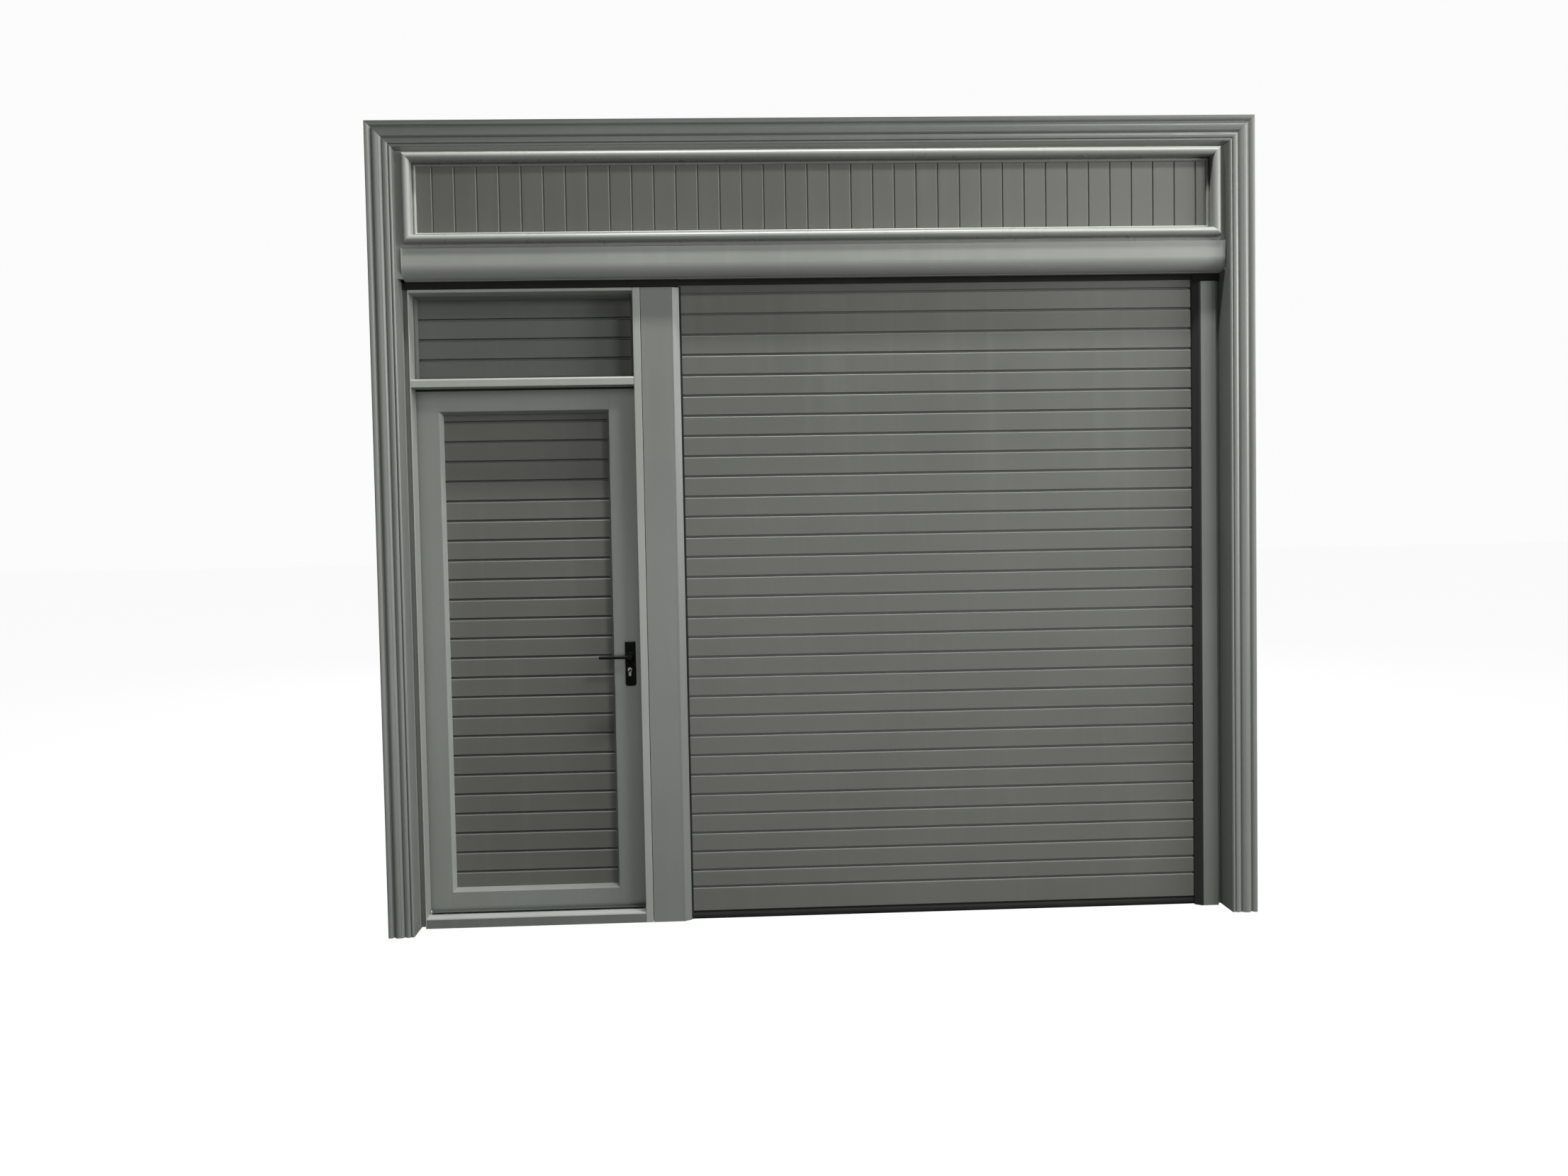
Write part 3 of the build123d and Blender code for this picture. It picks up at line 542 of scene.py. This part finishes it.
# tread plate over the sill, its front edge turned down and lightly ribbed on top
tread = [(0.0, 33.4), (0.0, 36.6), (0.6, 37.6), (1.8, 38.0)]
for k in range(9):
    y = 10.0 + 7.0 * k
    tread += [(y, 38.0), (y + 0.8, 37.2), (y + 2.2, 37.2), (y + 3.0, 38.0)]
tread += [(138.4, 38.0), (140.0, 37.0), (140.0, 33.4), (139.0, 33.4), (138.6, 35.8), (1.4, 35.8), (1.0, 33.4)]
bar("sill_tread", tread, along_x(-1549, -704), m_tread, "frame", slot="powder_coat", sharp=25)
# black seal along the underside of the transom, against which the leaf shuts; its black also stands in for the shade in
# the gap over the leaf
bar("transom_gasket", rounded([(73.0, 2082.0), (73.0, 2076.5, 1.5), (78.0, 2074.2, 2.0), (84.0, 2077.0, 1.5), (84.0, 2082.0)]),
    along_x(-1549, -704), m_rubber, "frame")

# ======================================================================
# guides with brush strips
# ======================================================================
for side, g, s, reach in (("left", -558.0, 1.0, 32.0), ("right", 1495.0, -1.0, 30.0)):
    if side == "left":
        # the post's cover laps the guide's flat front edge
        bar("guide_lap_left", rounded([(g, 0.1), (g + 7.6, 0.1, 1.2), (g + 7.6, 1.6, 0.6), (g, 1.6)]), up_to_recess(0),
            m_frame, "frame", slot="powder_coat")
    o = rounded([(g, 1.8 if side == "left" else 0.0, 0.4), (g + s * 7, 1.8 if side == "left" else 0.0, 2.0), (g + s * reach, 17, 1.2), (g + s * reach, 20, 1.0),
                 (g + s * 5, 20, 0.5), (g + s * 5, 42, 0.5), (g + s * reach, 42, 0.6), (g + s * reach, 60, 1.2), (g, 60, 0.6)])
    # the right guide takes the near-black coat, painted shade for its side turned from the light; the left one keeps
    # the frame's coat
    bar("guide_profile_" + side, o, up_to_recess(0), m_frame if side == "left" else m_guide_painted_shade, "frame", ("guide_rail_" + side,), slot="powder_coat")
    tip = reach + (8.0 if side == "left" else 1.5)
    b = rounded([(g + s * (reach - 9), 19.8), (g + s * (tip - 1.0), 19.6, 0.3), (g + s * tip, 20.6, 0.4), (g + s * (tip - 1.0), 21.3, 0.3),
                 (g + s * (reach - 9), 21.2)])
    bar("guide_brush_" + side, b, along_z(2, 2454), m_brush, "frame")
    b = rounded([(g + s * (reach - 9), 37.0), (g + s * (reach - 1), 36.6, 0.6), (g + s * (reach - 1), 41.6, 0.6), (g + s * (reach - 9), 41.8)])
    bar("guide_seal_" + side, b, along_z(2, 2478), m_rubber, "frame")

# black strips under the box cover: a strip in the recess of the frame, which is painted shade, and a brush that hangs
# in front of the curtain, a brush seal whose black also stands in for the shade there
v, f = [], []
for x0, x1 in ((-1573, -526), (1466, 1573)):
    tube(v, f, rounded([(9.5, 2451.0, 0.8), (11.9, 2450.6), (11.9, 2479.6), (9.0, 2479.6, 0.8)]), along_x(x0, x1))
finish_mesh("recess_painted_shade", v, f, m_brush, "frame")
v, f = [], []
for x0, x1 in ((-1599.4, -1573.6), (1573.6, 1599.4)):
    tube(v, f, rounded([(0.6, 2450.4), (11.8, 2450.4), (11.8, 2479.6), (0.6, 2479.6)]), along_x(x0, x1))
finish_mesh("recess_closers", v, f, m_frame, "frame", slot="powder_coat")
v, f = [], []
# brush seal in front of the curtain; its black also paints the shade under the box cover
tube(v, f, rounded([(15.8, 2479.8), (15.6, 2472, 0.5), (17.2, 2458.4, 0.5), (18.8, 2458.0, 0.5), (18.6, 2472, 0.5), (18.8, 2486.0)]),
     along_x(-526, 1466))
finish_mesh("cover_brush_painted_shade", v, f, m_brush, "frame")

# ======================================================================
# slats
# ======================================================================
CURTAIN = ([2428.0 - 77.7 * k for k in range(19)] + [1029.4 - 76.7 * k for k in range(1, 9)]
           + [341.0, 267.5, 194.5, 128.5])


SHOULDER = [(0.0, -14.0), (0.0, -9.6), (0.22, -8.6), (0.7, -7.5), (1.45, -6.4), (2.5, -5.4), (3.9, -4.7), (6.0, -4.4)]


def shoulder(f0, z):
    """Rounded top edge of a slat under the joint at z, from the face to the tongue."""
    return [(f0 + d, z + h) for d, h in SHOULDER]


def lip(f0, z):
    """Lower edge of a slat above the joint at z, from the face round to its back."""
    return [(f0, z + 12.0), (f0 - 0.25, z + 7.5), (f0 - 0.3, z + 4.6), (f0 - 0.05, z + 3.5), (f0 + 0.6, z + 3.0),
            (f0 + 4.2, z + 3.0), (f0 + 4.6, z + 3.6), (f0 + 4.6, z + 9.0)]


def tongue(f0, z, b0):
    """Top of a slat behind the one above, from its back to the shoulder."""
    return [(b0, z - 10.0), (b0 - 0.6, z - 7.0), (b0 - 2.0, z - 5.5), (b0 - 2.0, z + 5.5), (b0 - 3.0, z + 6.5),
            (f0 + 8.5, z + 6.5), (f0 + 7.6, z + 5.6), (f0 + 7.6, z - 4.0)]


def slat_run(name, f0, joints, x0, x1, mat, body, replaces, z_top=None, z_bot=None, **kw):
    """Double-walled slats hooked into one another at the joints; front face at f0."""
    v, f = [], []
    b0 = f0 + 14.0
    tops = ([z_top] if z_top is not None else []) + list(joints)
    ends = [z for z in joints] + ([z_bot] if z_bot is not None else [])
    if z_top is None:
        ends = ends[1:]
    for zu, zl in zip(tops, ends):
        o = []
        if zu == z_top:
            o += [(b0, zu), (f0, zu)]
        else:
            o += tongue(f0, zu, b0) + list(reversed(shoulder(f0, zu)))
        if zl == z_bot:
            o += [(f0, zl), (b0, zl)]
        else:
            o += lip(f0, zl) + [(b0 - 0.6, zl + 9.0), (b0, zl + 9.6)]
        tube(v, f, o, along_x(x0, x1))
    return finish_mesh(name, v, f, mat, body, replaces, **kw)


slat_run("curtain_slats", 22.0, [2505.7] + CURTAIN, -548.0, 1485.0, m_slat, "frame", ("shutter_curtain",),
         z_top=2560.0, slot="slat_coat", sharp=30)

# bottom bar with its rolled top, and the bulb seal under it
z = 128.5
o = rounded([(21.8, 33, 2.0), (37.5, 33, 2.0), (37.5, 116, 1.5), (34, 120, 1.0), (34, z + 5.5, 1.2), (29.6, z + 5.5, 1.0)], 4)
o += [(29.6, z - 4.0)] + list(reversed([(21.8 + d, z + h) for d, h in SHOULDER]))
bar("bottom_bar_profile", o, along_x(-548, 1485), m_slat, "frame", ("bottom_bar",), slot="slat_coat", sharp=30)
o = [(24, 34), (24, 30), (26.0, 28.5), (26.0, 26.0)]
o += arc3((25.4, 25.0), (21.2, 14.0), (24.0, 2.2), 10)
o += arc3((25.2, 1.0), (29.5, 0.0), (33.8, 1.0), 5)
o += arc3((35.0, 2.2), (37.8, 14.0), (33.6, 25.0), 10)
o += [(33.0, 26.0), (33.0, 28.5), (35, 30), (35, 34)]
bar("bottom_seal_bulb", o, along_x(-546, 1483), m_rubber, "frame", ("bottom_seal",), slot="rubber_seal")

# fixed panel over the door
# its slats take the darker panel coat, painted shade
slat_run("transom_slats", 90.0, [2351.0, 2274.0, 2197.0], -1549, -704, m_panel_painted_shade, "frame", ("transom_panel",),
         z_top=2438.0, z_bot=2114.0, slot="slat_coat", sharp=30)


def bead_ring(name, box_, y_front, y_back, wide, flat, mat, body, replaces, **kw):
    """Mitred bead round an opening: a flat nose at the front, then a slope to the panel."""
    x0, x1, z0, z1 = box_
    # section: (inset, depth)
    sec = rounded([(0.0, y_back), (0.0, y_front, 0.8), (flat, y_front, 1.2), (wide, y_back - 1.5, 0.8), (wide, y_back, 0.3)], 4)
    v, f = [], []
    runs = (
        (lambda p: P(x0 + p[0], p[1], z0 + p[0]), lambda p: P(x0 + p[0], p[1], z1 - p[0])),
        (lambda p: P(x1 - p[0], p[1], z0 + p[0]), lambda p: P(x1 - p[0], p[1], z1 - p[0])),
        (lambda p: P(x0 + p[0], p[1], z0 + p[0]), lambda p: P(x1 - p[0], p[1], z0 + p[0])),
        (lambda p: P(x0 + p[0], p[1], z1 - p[0]), lambda p: P(x1 - p[0], p[1], z1 - p[0])),
    )
    for a, b in runs:
        tube(v, f, sec, [a, b])
    me = bpy.data.meshes.new(name)
    me.from_pydata([Vector(q) for q in v], [], f)
    bm = bmesh.new()
    bm.from_mesh(me)
    bmesh.ops.recalc_face_normals(bm, faces=bm.faces)
    bm.to_mesh(me)
    bm.free()
    me.polygons.foreach_set("use_smooth", [True] * len(me.polygons))
    me.set_sharp_from_angle(angle=math.radians(34))
    me.materials.append(mat)
    ob = bpy.data.objects.new(name, me)
    scene.collection.objects.link(ob)
    w = ob.modifiers.new("weighted", "WEIGHTED_NORMAL")
    w.keep_sharp = True
    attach(ob, body)
    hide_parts(*replaces)
    PIECES.append(ob)
    return ob


# the beads over the door take the same darker coat, painted shade
bead_ring("transom_bead_frame", (-1549, -704, 2114, 2438), 76.0, 90.0, 14.0, 5.0, m_panel_painted_shade, "frame", ("transom_beads",))

# ======================================================================
# door leaf
# ======================================================================
bar("stile_hinge", rounded([(-1560, 85, 1.5), (-1466, 85, 0.8), (-1466, 140, 0.8), (-1560, 140, 1.5)]),
    along_z(46, 2090), m_leaf, "door", ("leaf_stile_hinge",), slot="powder_coat")
bar("stile_lock", rounded([(-808, 85, 0.8), (-697, 85, 1.5), (-697, 140, 1.5), (-808, 140, 0.8)]),
    along_z(46, 2090), m_leaf, "door", ("leaf_stile_lock",), slot="powder_coat")
bar("rail_top", rounded([(85, 1999, 0.8), (140, 1999, 0.8), (140, 2090, 1.5), (85, 2090, 1.5)]),
    along_x(-1466, -808), m_leaf, "door", ("leaf_rail_top",), slot="powder_coat")
bar("rail_bottom", rounded([(85, 46, 1.5), (140, 46, 1.5), (140, 114, 0.8), (85, 114, 0.8)]),
    along_x(-1466, -808), m_leaf, "door", ("leaf_rail_bottom",), slot="powder_coat")
slat_run("leaf_slats", 121.0, [1959.0 - 77.0 * k for k in range(24)], -1466, -808, m_panel, "door", ("leaf_panel",),
         z_top=1999.0, z_bot=114.0, slot="slat_coat", sharp=30)
bead_ring("leaf_bead_frame", (-1466, -808, 114, 1999), 86.0, 121.0, 12.0, 2.5, m_leaf, "door", ("leaf_beads",))
bar("drip_bar", rounded([(85, 47), (85, 56, 0.4), (82, 56, 0.8), (80.5, 52, 1.0), (55, 50, 1.2), (53, 49, 0.6), (53, 47, 0.4)]),
    along_x(-1542, -711), m_drip, "door", ("leaf_drip",), slot="powder_coat")

# gaskets: leaf against the stops
v, f = [], []
for x0, x1 in ((-1559, -1550.5), (-703, -698)):
    tube(v, f, rounded([(x0, 80.3), (x1, 80.3, 1), (x1, 84.6, 1), (x0, 84.6)]), along_z(48, 2088))
finish_mesh("leaf_gasket", v, f, m_rubber, "door")

# ======================================================================
# lock furniture
# ======================================================================
SX, SZ, CX, CZ = -747.0, 1031.0, -750.0, 979.0


def plate_stations(y_face, y_top, out):
    """Stations of a plate that swells from its foot to a softly crowned face."""
    d = y_top - y_face
    cx, cz = -747.5, 1002.0

    def at(t, s):
        def place(p):
            return P(cx + (p[0] - cx) * s, y_face + d * t, cz + (p[1] - cz) * (1 - (1 - s) * 0.24))
        return place
    return [at(0.0, 1.0), at(0.62, 1.0), at(0.80, 0.985), at(0.92, 0.955), at(0.985, 0.90), at(1.0, 0.84)]


def furniture(side, y_face, out):
    """Backplate and boss on one face of the leaf."""
    v, f = [], []
    o = rounded([(-768, 915, 9), (-727, 915, 9), (-727, 1089, 3), (-768, 1089, 3)], 6)
    tube(v, f, o, plate_stations(y_face, y_face + out * 8.0, out))
    # boss round the spindle
    circle = [(SX + 17 * math.cos(2 * math.pi * k / 40), SZ + 17 * math.sin(2 * math.pi * k / 40)) for k in range(40)]

    def boss(t, s):
        return lambda p: P(SX + (p[0] - SX) * s, y_face + out * (7.6 + t), SZ + (p[1] - SZ) * s)
    tube(v, f, circle, [boss(0, 1.0), boss(2.6, 1.0), boss(3.7, 0.95), boss(4.3, 0.86), boss(4.4, 0.7)])
    return finish_mesh("furniture_" + side, v, f, m_black, "door",
                       ("backplate_" + side,), slot="handle_black", sharp=50)


def lever(side, y_plate, out, node):
    """Neck and straight lever with softened edges and a rounded tip."""
    v, f = [], []
    circle = [(SX + 9.6 * math.cos(2 * math.pi * k / 36), SZ + 9.6 * math.sin(2 * math.pi * k / 36)) for k in range(36)]

    def neck(d, s):
        return lambda p: P(SX + (p[0] - SX) * s, y_plate + out * d, SZ + (p[1] - SZ) * s)
    tube(v, f, circle, [neck(4.4, 1.0), neck(12, 0.93), neck(22, 0.93), neck(30, 1.0), neck(40.0, 1.02), neck(41.0, 0.9)])
    # lever: section is (depth, height), carried from the neck to the tip
    yc_ = y_plate + out * 32.0
    sec = rounded([(-8.5, -6.4, 3.4), (8.5, -6.4, 3.4), (8.5, 5.4, 3.4), (-8.5, 5.4, 3.4)], 5)

    def at(x, s, dz=0.0, wide=1.0):
        return lambda p: P(x, yc_ + p[0] * s * wide, SZ + dz + p[1] * s)
    tube(v, f, sec, [at(SX + 9.0, 0.55), at(SX + 8.0, 0.8), at(SX + 4.0, 0.98), at(SX, 1.0), at(SX - 40, 0.97), at(SX - 90, 0.93),
                     at(SX - 114, 0.93), at(SX - 118, 0.88), at(SX - 119.6, 0.74), at(SX - 120, 0.5)])
    return finish_mesh("lever_" + side + "_grip", v, f, m_black, "handle", (node,), slot="handle_black", sharp=50)


furniture("outer", 85.0, -1.0)
furniture("inner", 140.0, 1.0)
lever("outer", 77.0, -1.0, "lever_outer")
lever("inner", 148.0, 1.0, "lever_inner")

# euro cylinder: body, plug ring and a black plate for the keyway's painted shade
def euro(v, f, y0, y1, k=1.0):
    o = []
    for i in range(25):       # round head, from lower right round to lower left
        g = math.radians(-36 + (252) * i / 24)
        o.append((CX + 8.5 * k * math.cos(g), CZ + 8.5 * k * math.sin(g)))
    o.append((CX - 5 * k, CZ - 9))
    for i in range(13):
        g = math.radians(180 + 180 * i / 12)
        o.append((CX + 5 * k * math.cos(g), CZ - 20 + 5 * k * math.sin(g)))
    o.append((CX + 5 * k, CZ - 9))
    step = 0.6 if y1 > y0 else -0.6

    def at(y, s):
        return lambda p: P(CX + (p[0] - CX) * s, y, CZ - 7 + (p[1] - CZ + 7) * s)
    tube(v, f, o, [at(y0, 0.93), at(y0 + step, 1.0), at(y1 - step, 1.0), at(y1, 0.93)])


v, f = [], []
euro(v, f, 74.0, 151.0)
finish_mesh("cylinder_body", v, f, m_nickel, "door", ("lock_cylinder",), slot="cylinder_metal", sharp=40)
v, f = [], []
for y_face, out in ((74.0, -1.0), (151.0, 1.0)):
    for r0, r1, h in ((6.6, 6.2, 1.0),):
        c = [(CX + math.cos(2 * math.pi * k / 40), CZ + math.sin(2 * math.pi * k / 40)) for k in range(40)]
        tube(v, f, c, [lambda p, r=r0: P(CX + (p[0] - CX) * r, y_face, CZ + (p[1] - CZ) * r),
                       lambda p, r=r0: P(CX + (p[0] - CX) * r, y_face + out * h * 0.7, CZ + (p[1] - CZ) * r),
                       lambda p, r=r1: P(CX + (p[0] - CX) * r, y_face + out * h, CZ + (p[1] - CZ) * r)])
finish_mesh("cylinder_plug", v, f, m_nickel, "door", slot="cylinder_metal", sharp=40)
v, f = [], []
for y_face, out in ((74.0, -1.0), (151.0, 1.0)):
    # a black plate in the shape of a slot turned to the right, from the plug towards the web: painted shade of the
    # keyway
    c0, s0 = math.cos(math.radians(-42)), math.sin(math.radians(-42))
    key = [(CX + 0.4 + c0 * a - s0 * b, CZ - 3.6 + s0 * a + c0 * b) for a, b in
           rounded([(-2.8, -7.0, 1.2), (2.4, -7.0, 1.2), (2.4, -0.6, 0.3), (3.4, 0.4, 0.4), (3.4, 6.2, 1.2), (-2.8, 6.2, 1.2)])]
    plate_y(v, f, key, y_face + out * 0.8, y_face + out * 1.06)
finish_mesh("cylinder_keyway_painted_shade", v, f, m_rubber, "door")

# ======================================================================
# materials of the CAD nodes that stay
# ======================================================================
def dress(node, mat):
    me = nodes[node].data
    me.materials.clear()
    me.materials.append(mat)


for n in ("box_soffit", "box_back", "box_top", "box_end_left", "box_end_right"):
    dress(n, m_back)
for n in ("hinge_jamb", "hinge_leaf"):
    dress(n, m_zinc)

# screws of the hinges, set in the leaves
v, f = [], []
for zh in (280.0, 1100.0, 1880.0):
    for dz in (-38.0, -14.0):
        dome(v, f, -1586.0, zh + dz, 143.0, 4.2, 1.2, out=1.0)
finish_mesh("hinge_screws_jamb", v, f, m_zinc, "frame", sharp=50)
v, f = [], []
for zh in (280.0, 1100.0, 1880.0):
    for dz in (14.0, 38.0):
        dome(v, f, -1538.0, zh + dz, 143.0, 4.2, 1.2, out=1.0)
finish_mesh("hinge_screws_leaf", v, f, m_zinc, "door", sharp=50)

# ======================================================================
# floor, light and camera
# ======================================================================
def flat_material(name, colour, rough):
    m, nt, bsdf = nodes_of(name)
    n = noise(nt, coords(nt, (1.0, 1.0, 1.0)), 2.0, 4.0, 0.6)
    base = mix(nt, n, rgba(*colour), rgba(*colour, k=0.97))
    nt.links.new(base, bsdf.inputs["Base Color"])
    bsdf.inputs["Roughness"].default_value = rough
    return m


def slab(name, mat, z):
    me = bpy.data.meshes.new(name)
    me.from_pydata([(-60, -60, z), (60, -60, z), (60, 60, z), (-60, 60, z)], [], [(0, 1, 2, 3)])
    me.materials.append(mat)
    ob = bpy.data.objects.new(name, me)
    scene.collection.objects.link(ob)
    return ob


# the pale floor is what the camera sees; the dark one under it keeps the
# light that comes back up from the ground low, as out of doors
paper = flat_material("paper_pale", (0.025, 0.025, 0.025), 0.9)
paper_shader = [n for n in paper.node_tree.nodes if n.type == "BSDF_PRINCIPLED"][0]
paper_shader.inputs["Emission Color"].default_value = (1.0, 1.0, 1.0, 1.0)
paper_shader.inputs["Emission Strength"].default_value = 0.955
floor = slab("floor", paper, 0.0)
floor.visible_diffuse = False
floor.visible_glossy = False
floor.visible_shadow = False
ground = slab("ground", flat_material("ground_dark", (0.10, 0.10, 0.10), 0.9), -0.01)
ground.visible_camera = False


def area(name, place, target, size, power, colour=(1, 1, 1)):
    light = bpy.data.lights.new(name, "AREA")
    light.shape = "RECTANGLE"
    light.size, light.size_y = size
    light.energy = power
    light.color = colour
    ob = bpy.data.objects.new(name, light)
    scene.collection.objects.link(ob)
    d = Vector(target) - Vector(place)
    ob.matrix_world = Matrix.Translation(place) @ d.to_track_quat("-Z", "Y").to_matrix().to_4x4()
    return ob


LIGHTS = {
    # a steep light, which throws the box cover's shadow on the frame and the slats
    "steep": area("steep", (0.8, -2.0, 8.5), (0.8, 0.0, 2.2), (3.2, 0.5), 600.0),
    # a light at half height from the front, which models the mouldings
    "slant_right": area("slant_right", (5.0, -6.0, 8.3), (1.2, 0.0, 2.2), (2.2, 1.2), 379.0),
    "right": area("right", (5.2, -5.2, 4.2), (1.2, -0.1, 1.6), (3.0, 1.8), 58.0),
    "side": area("side", (7.0, -2.6, 3.0), (1.6, -0.2, 1.4), (3.0, 2.4), 305.0),
    "bounce": area("bounce", (0.6, -5.2, 0.2), (0.6, 0.0, 2.9), (8.0, 2.4), 168.0),
    # a light for the back, which the camera doesn't see
    "behind": area("behind", (0.6, 9.0, 5.0), (0.6, 0.1, 1.5), (6.0, 3.0), 700.0),
    # a low light for what stands back in the door's recess
    "recess": area("recess", (-1.6, -8.5, 4.7), (-0.5, 0.0, 1.4), (5.0, 3.2), 124.0),
}
# the boards, the head casing and the leaf stand outside the steep light's beam,
# which passes the head casing on its way to the mouldings; the ground light
# leaves out the mouldings, the slats of the leaf and the lock furniture; the
# low light reaches the leaf, its furniture and the panel over it only
RECESSED = ("stile_", "rail_", "leaf_gasket", "drip_bar", "transom_slats",
            "transom_bead")


def linked(name, begins, state):
    group = bpy.data.collections.new(name)
    for ob in PIECES:
        if ob.name.startswith(begins):
            group.objects.link(ob)
    for item in group.collection_objects:
        item.light_linking.link_state = state
    return group


LIGHTS["steep"].light_linking.receiver_collection = linked(
    "outside_steep_light", ("casing_head", "fascia_") + RECESSED, "EXCLUDE")
LIGHTS["steep"].light_linking.blocker_collection = linked("passed_by_steep_light", ("casing_head",), "EXCLUDE")
LIGHTS["bounce"].light_linking.receiver_collection = linked(
    "outside_bounce_light", ("bolection_", "leaf_slats", "transom_slats", "furniture_", "lever_", "cylinder_"), "EXCLUDE")
LIGHTS["recess"].light_linking.receiver_collection = linked("in_the_recess", RECESSED + ("leaf_bead", "leaf_slats", "furniture_", "lever_", "cylinder_"), "INCLUDE")
for lamp in LIGHTS.values():
    lamp.visible_camera = False

world = bpy.data.worlds.new("studio")
world.use_nodes = True
world.node_tree.nodes["Background"].inputs["Color"].default_value = (1.0, 1.0, 1.0, 1.0)
world.node_tree.nodes["Background"].inputs["Strength"].default_value = 0.97
world.cycles_visibility.diffuse = False
world.cycles_visibility.glossy = False
world.cycles_visibility.transmission = False
world.cycles_visibility.scatter = False
scene.world = world

cam = bpy.data.cameras.new("camera")
cam.sensor_fit = "HORIZONTAL"
cam.sensor_width = 36.0
cam.lens = 1775.28 / 2212.0 * 36.0
cam.shift_x = 17.34 / 2212.0
cam.shift_y = -14.96 / 2212.0
camera = bpy.data.objects.new("camera", cam)
scene.collection.objects.link(camera)
yaw, pitch, roll = math.radians(2.18), math.radians(-2.24), math.radians(-1.08)
F = Vector((math.sin(yaw) * math.cos(pitch), math.cos(yaw) * math.cos(pitch), math.sin(pitch)))
R0 = Vector((math.cos(yaw), -math.sin(yaw), 0.0))
U0 = R0.cross(F)
Rt = math.cos(roll) * R0 + math.sin(roll) * U0
Up = -math.sin(roll) * R0 + math.cos(roll) * U0
m = Matrix((Rt, Up, -F)).transposed().to_4x4()
m.translation = Vector(P(-375.24, -4854.65, 1522.79))
camera.matrix_world = m
scene.camera = camera

scene.view_settings.view_transform = "Standard"
scene.view_settings.look = "None"
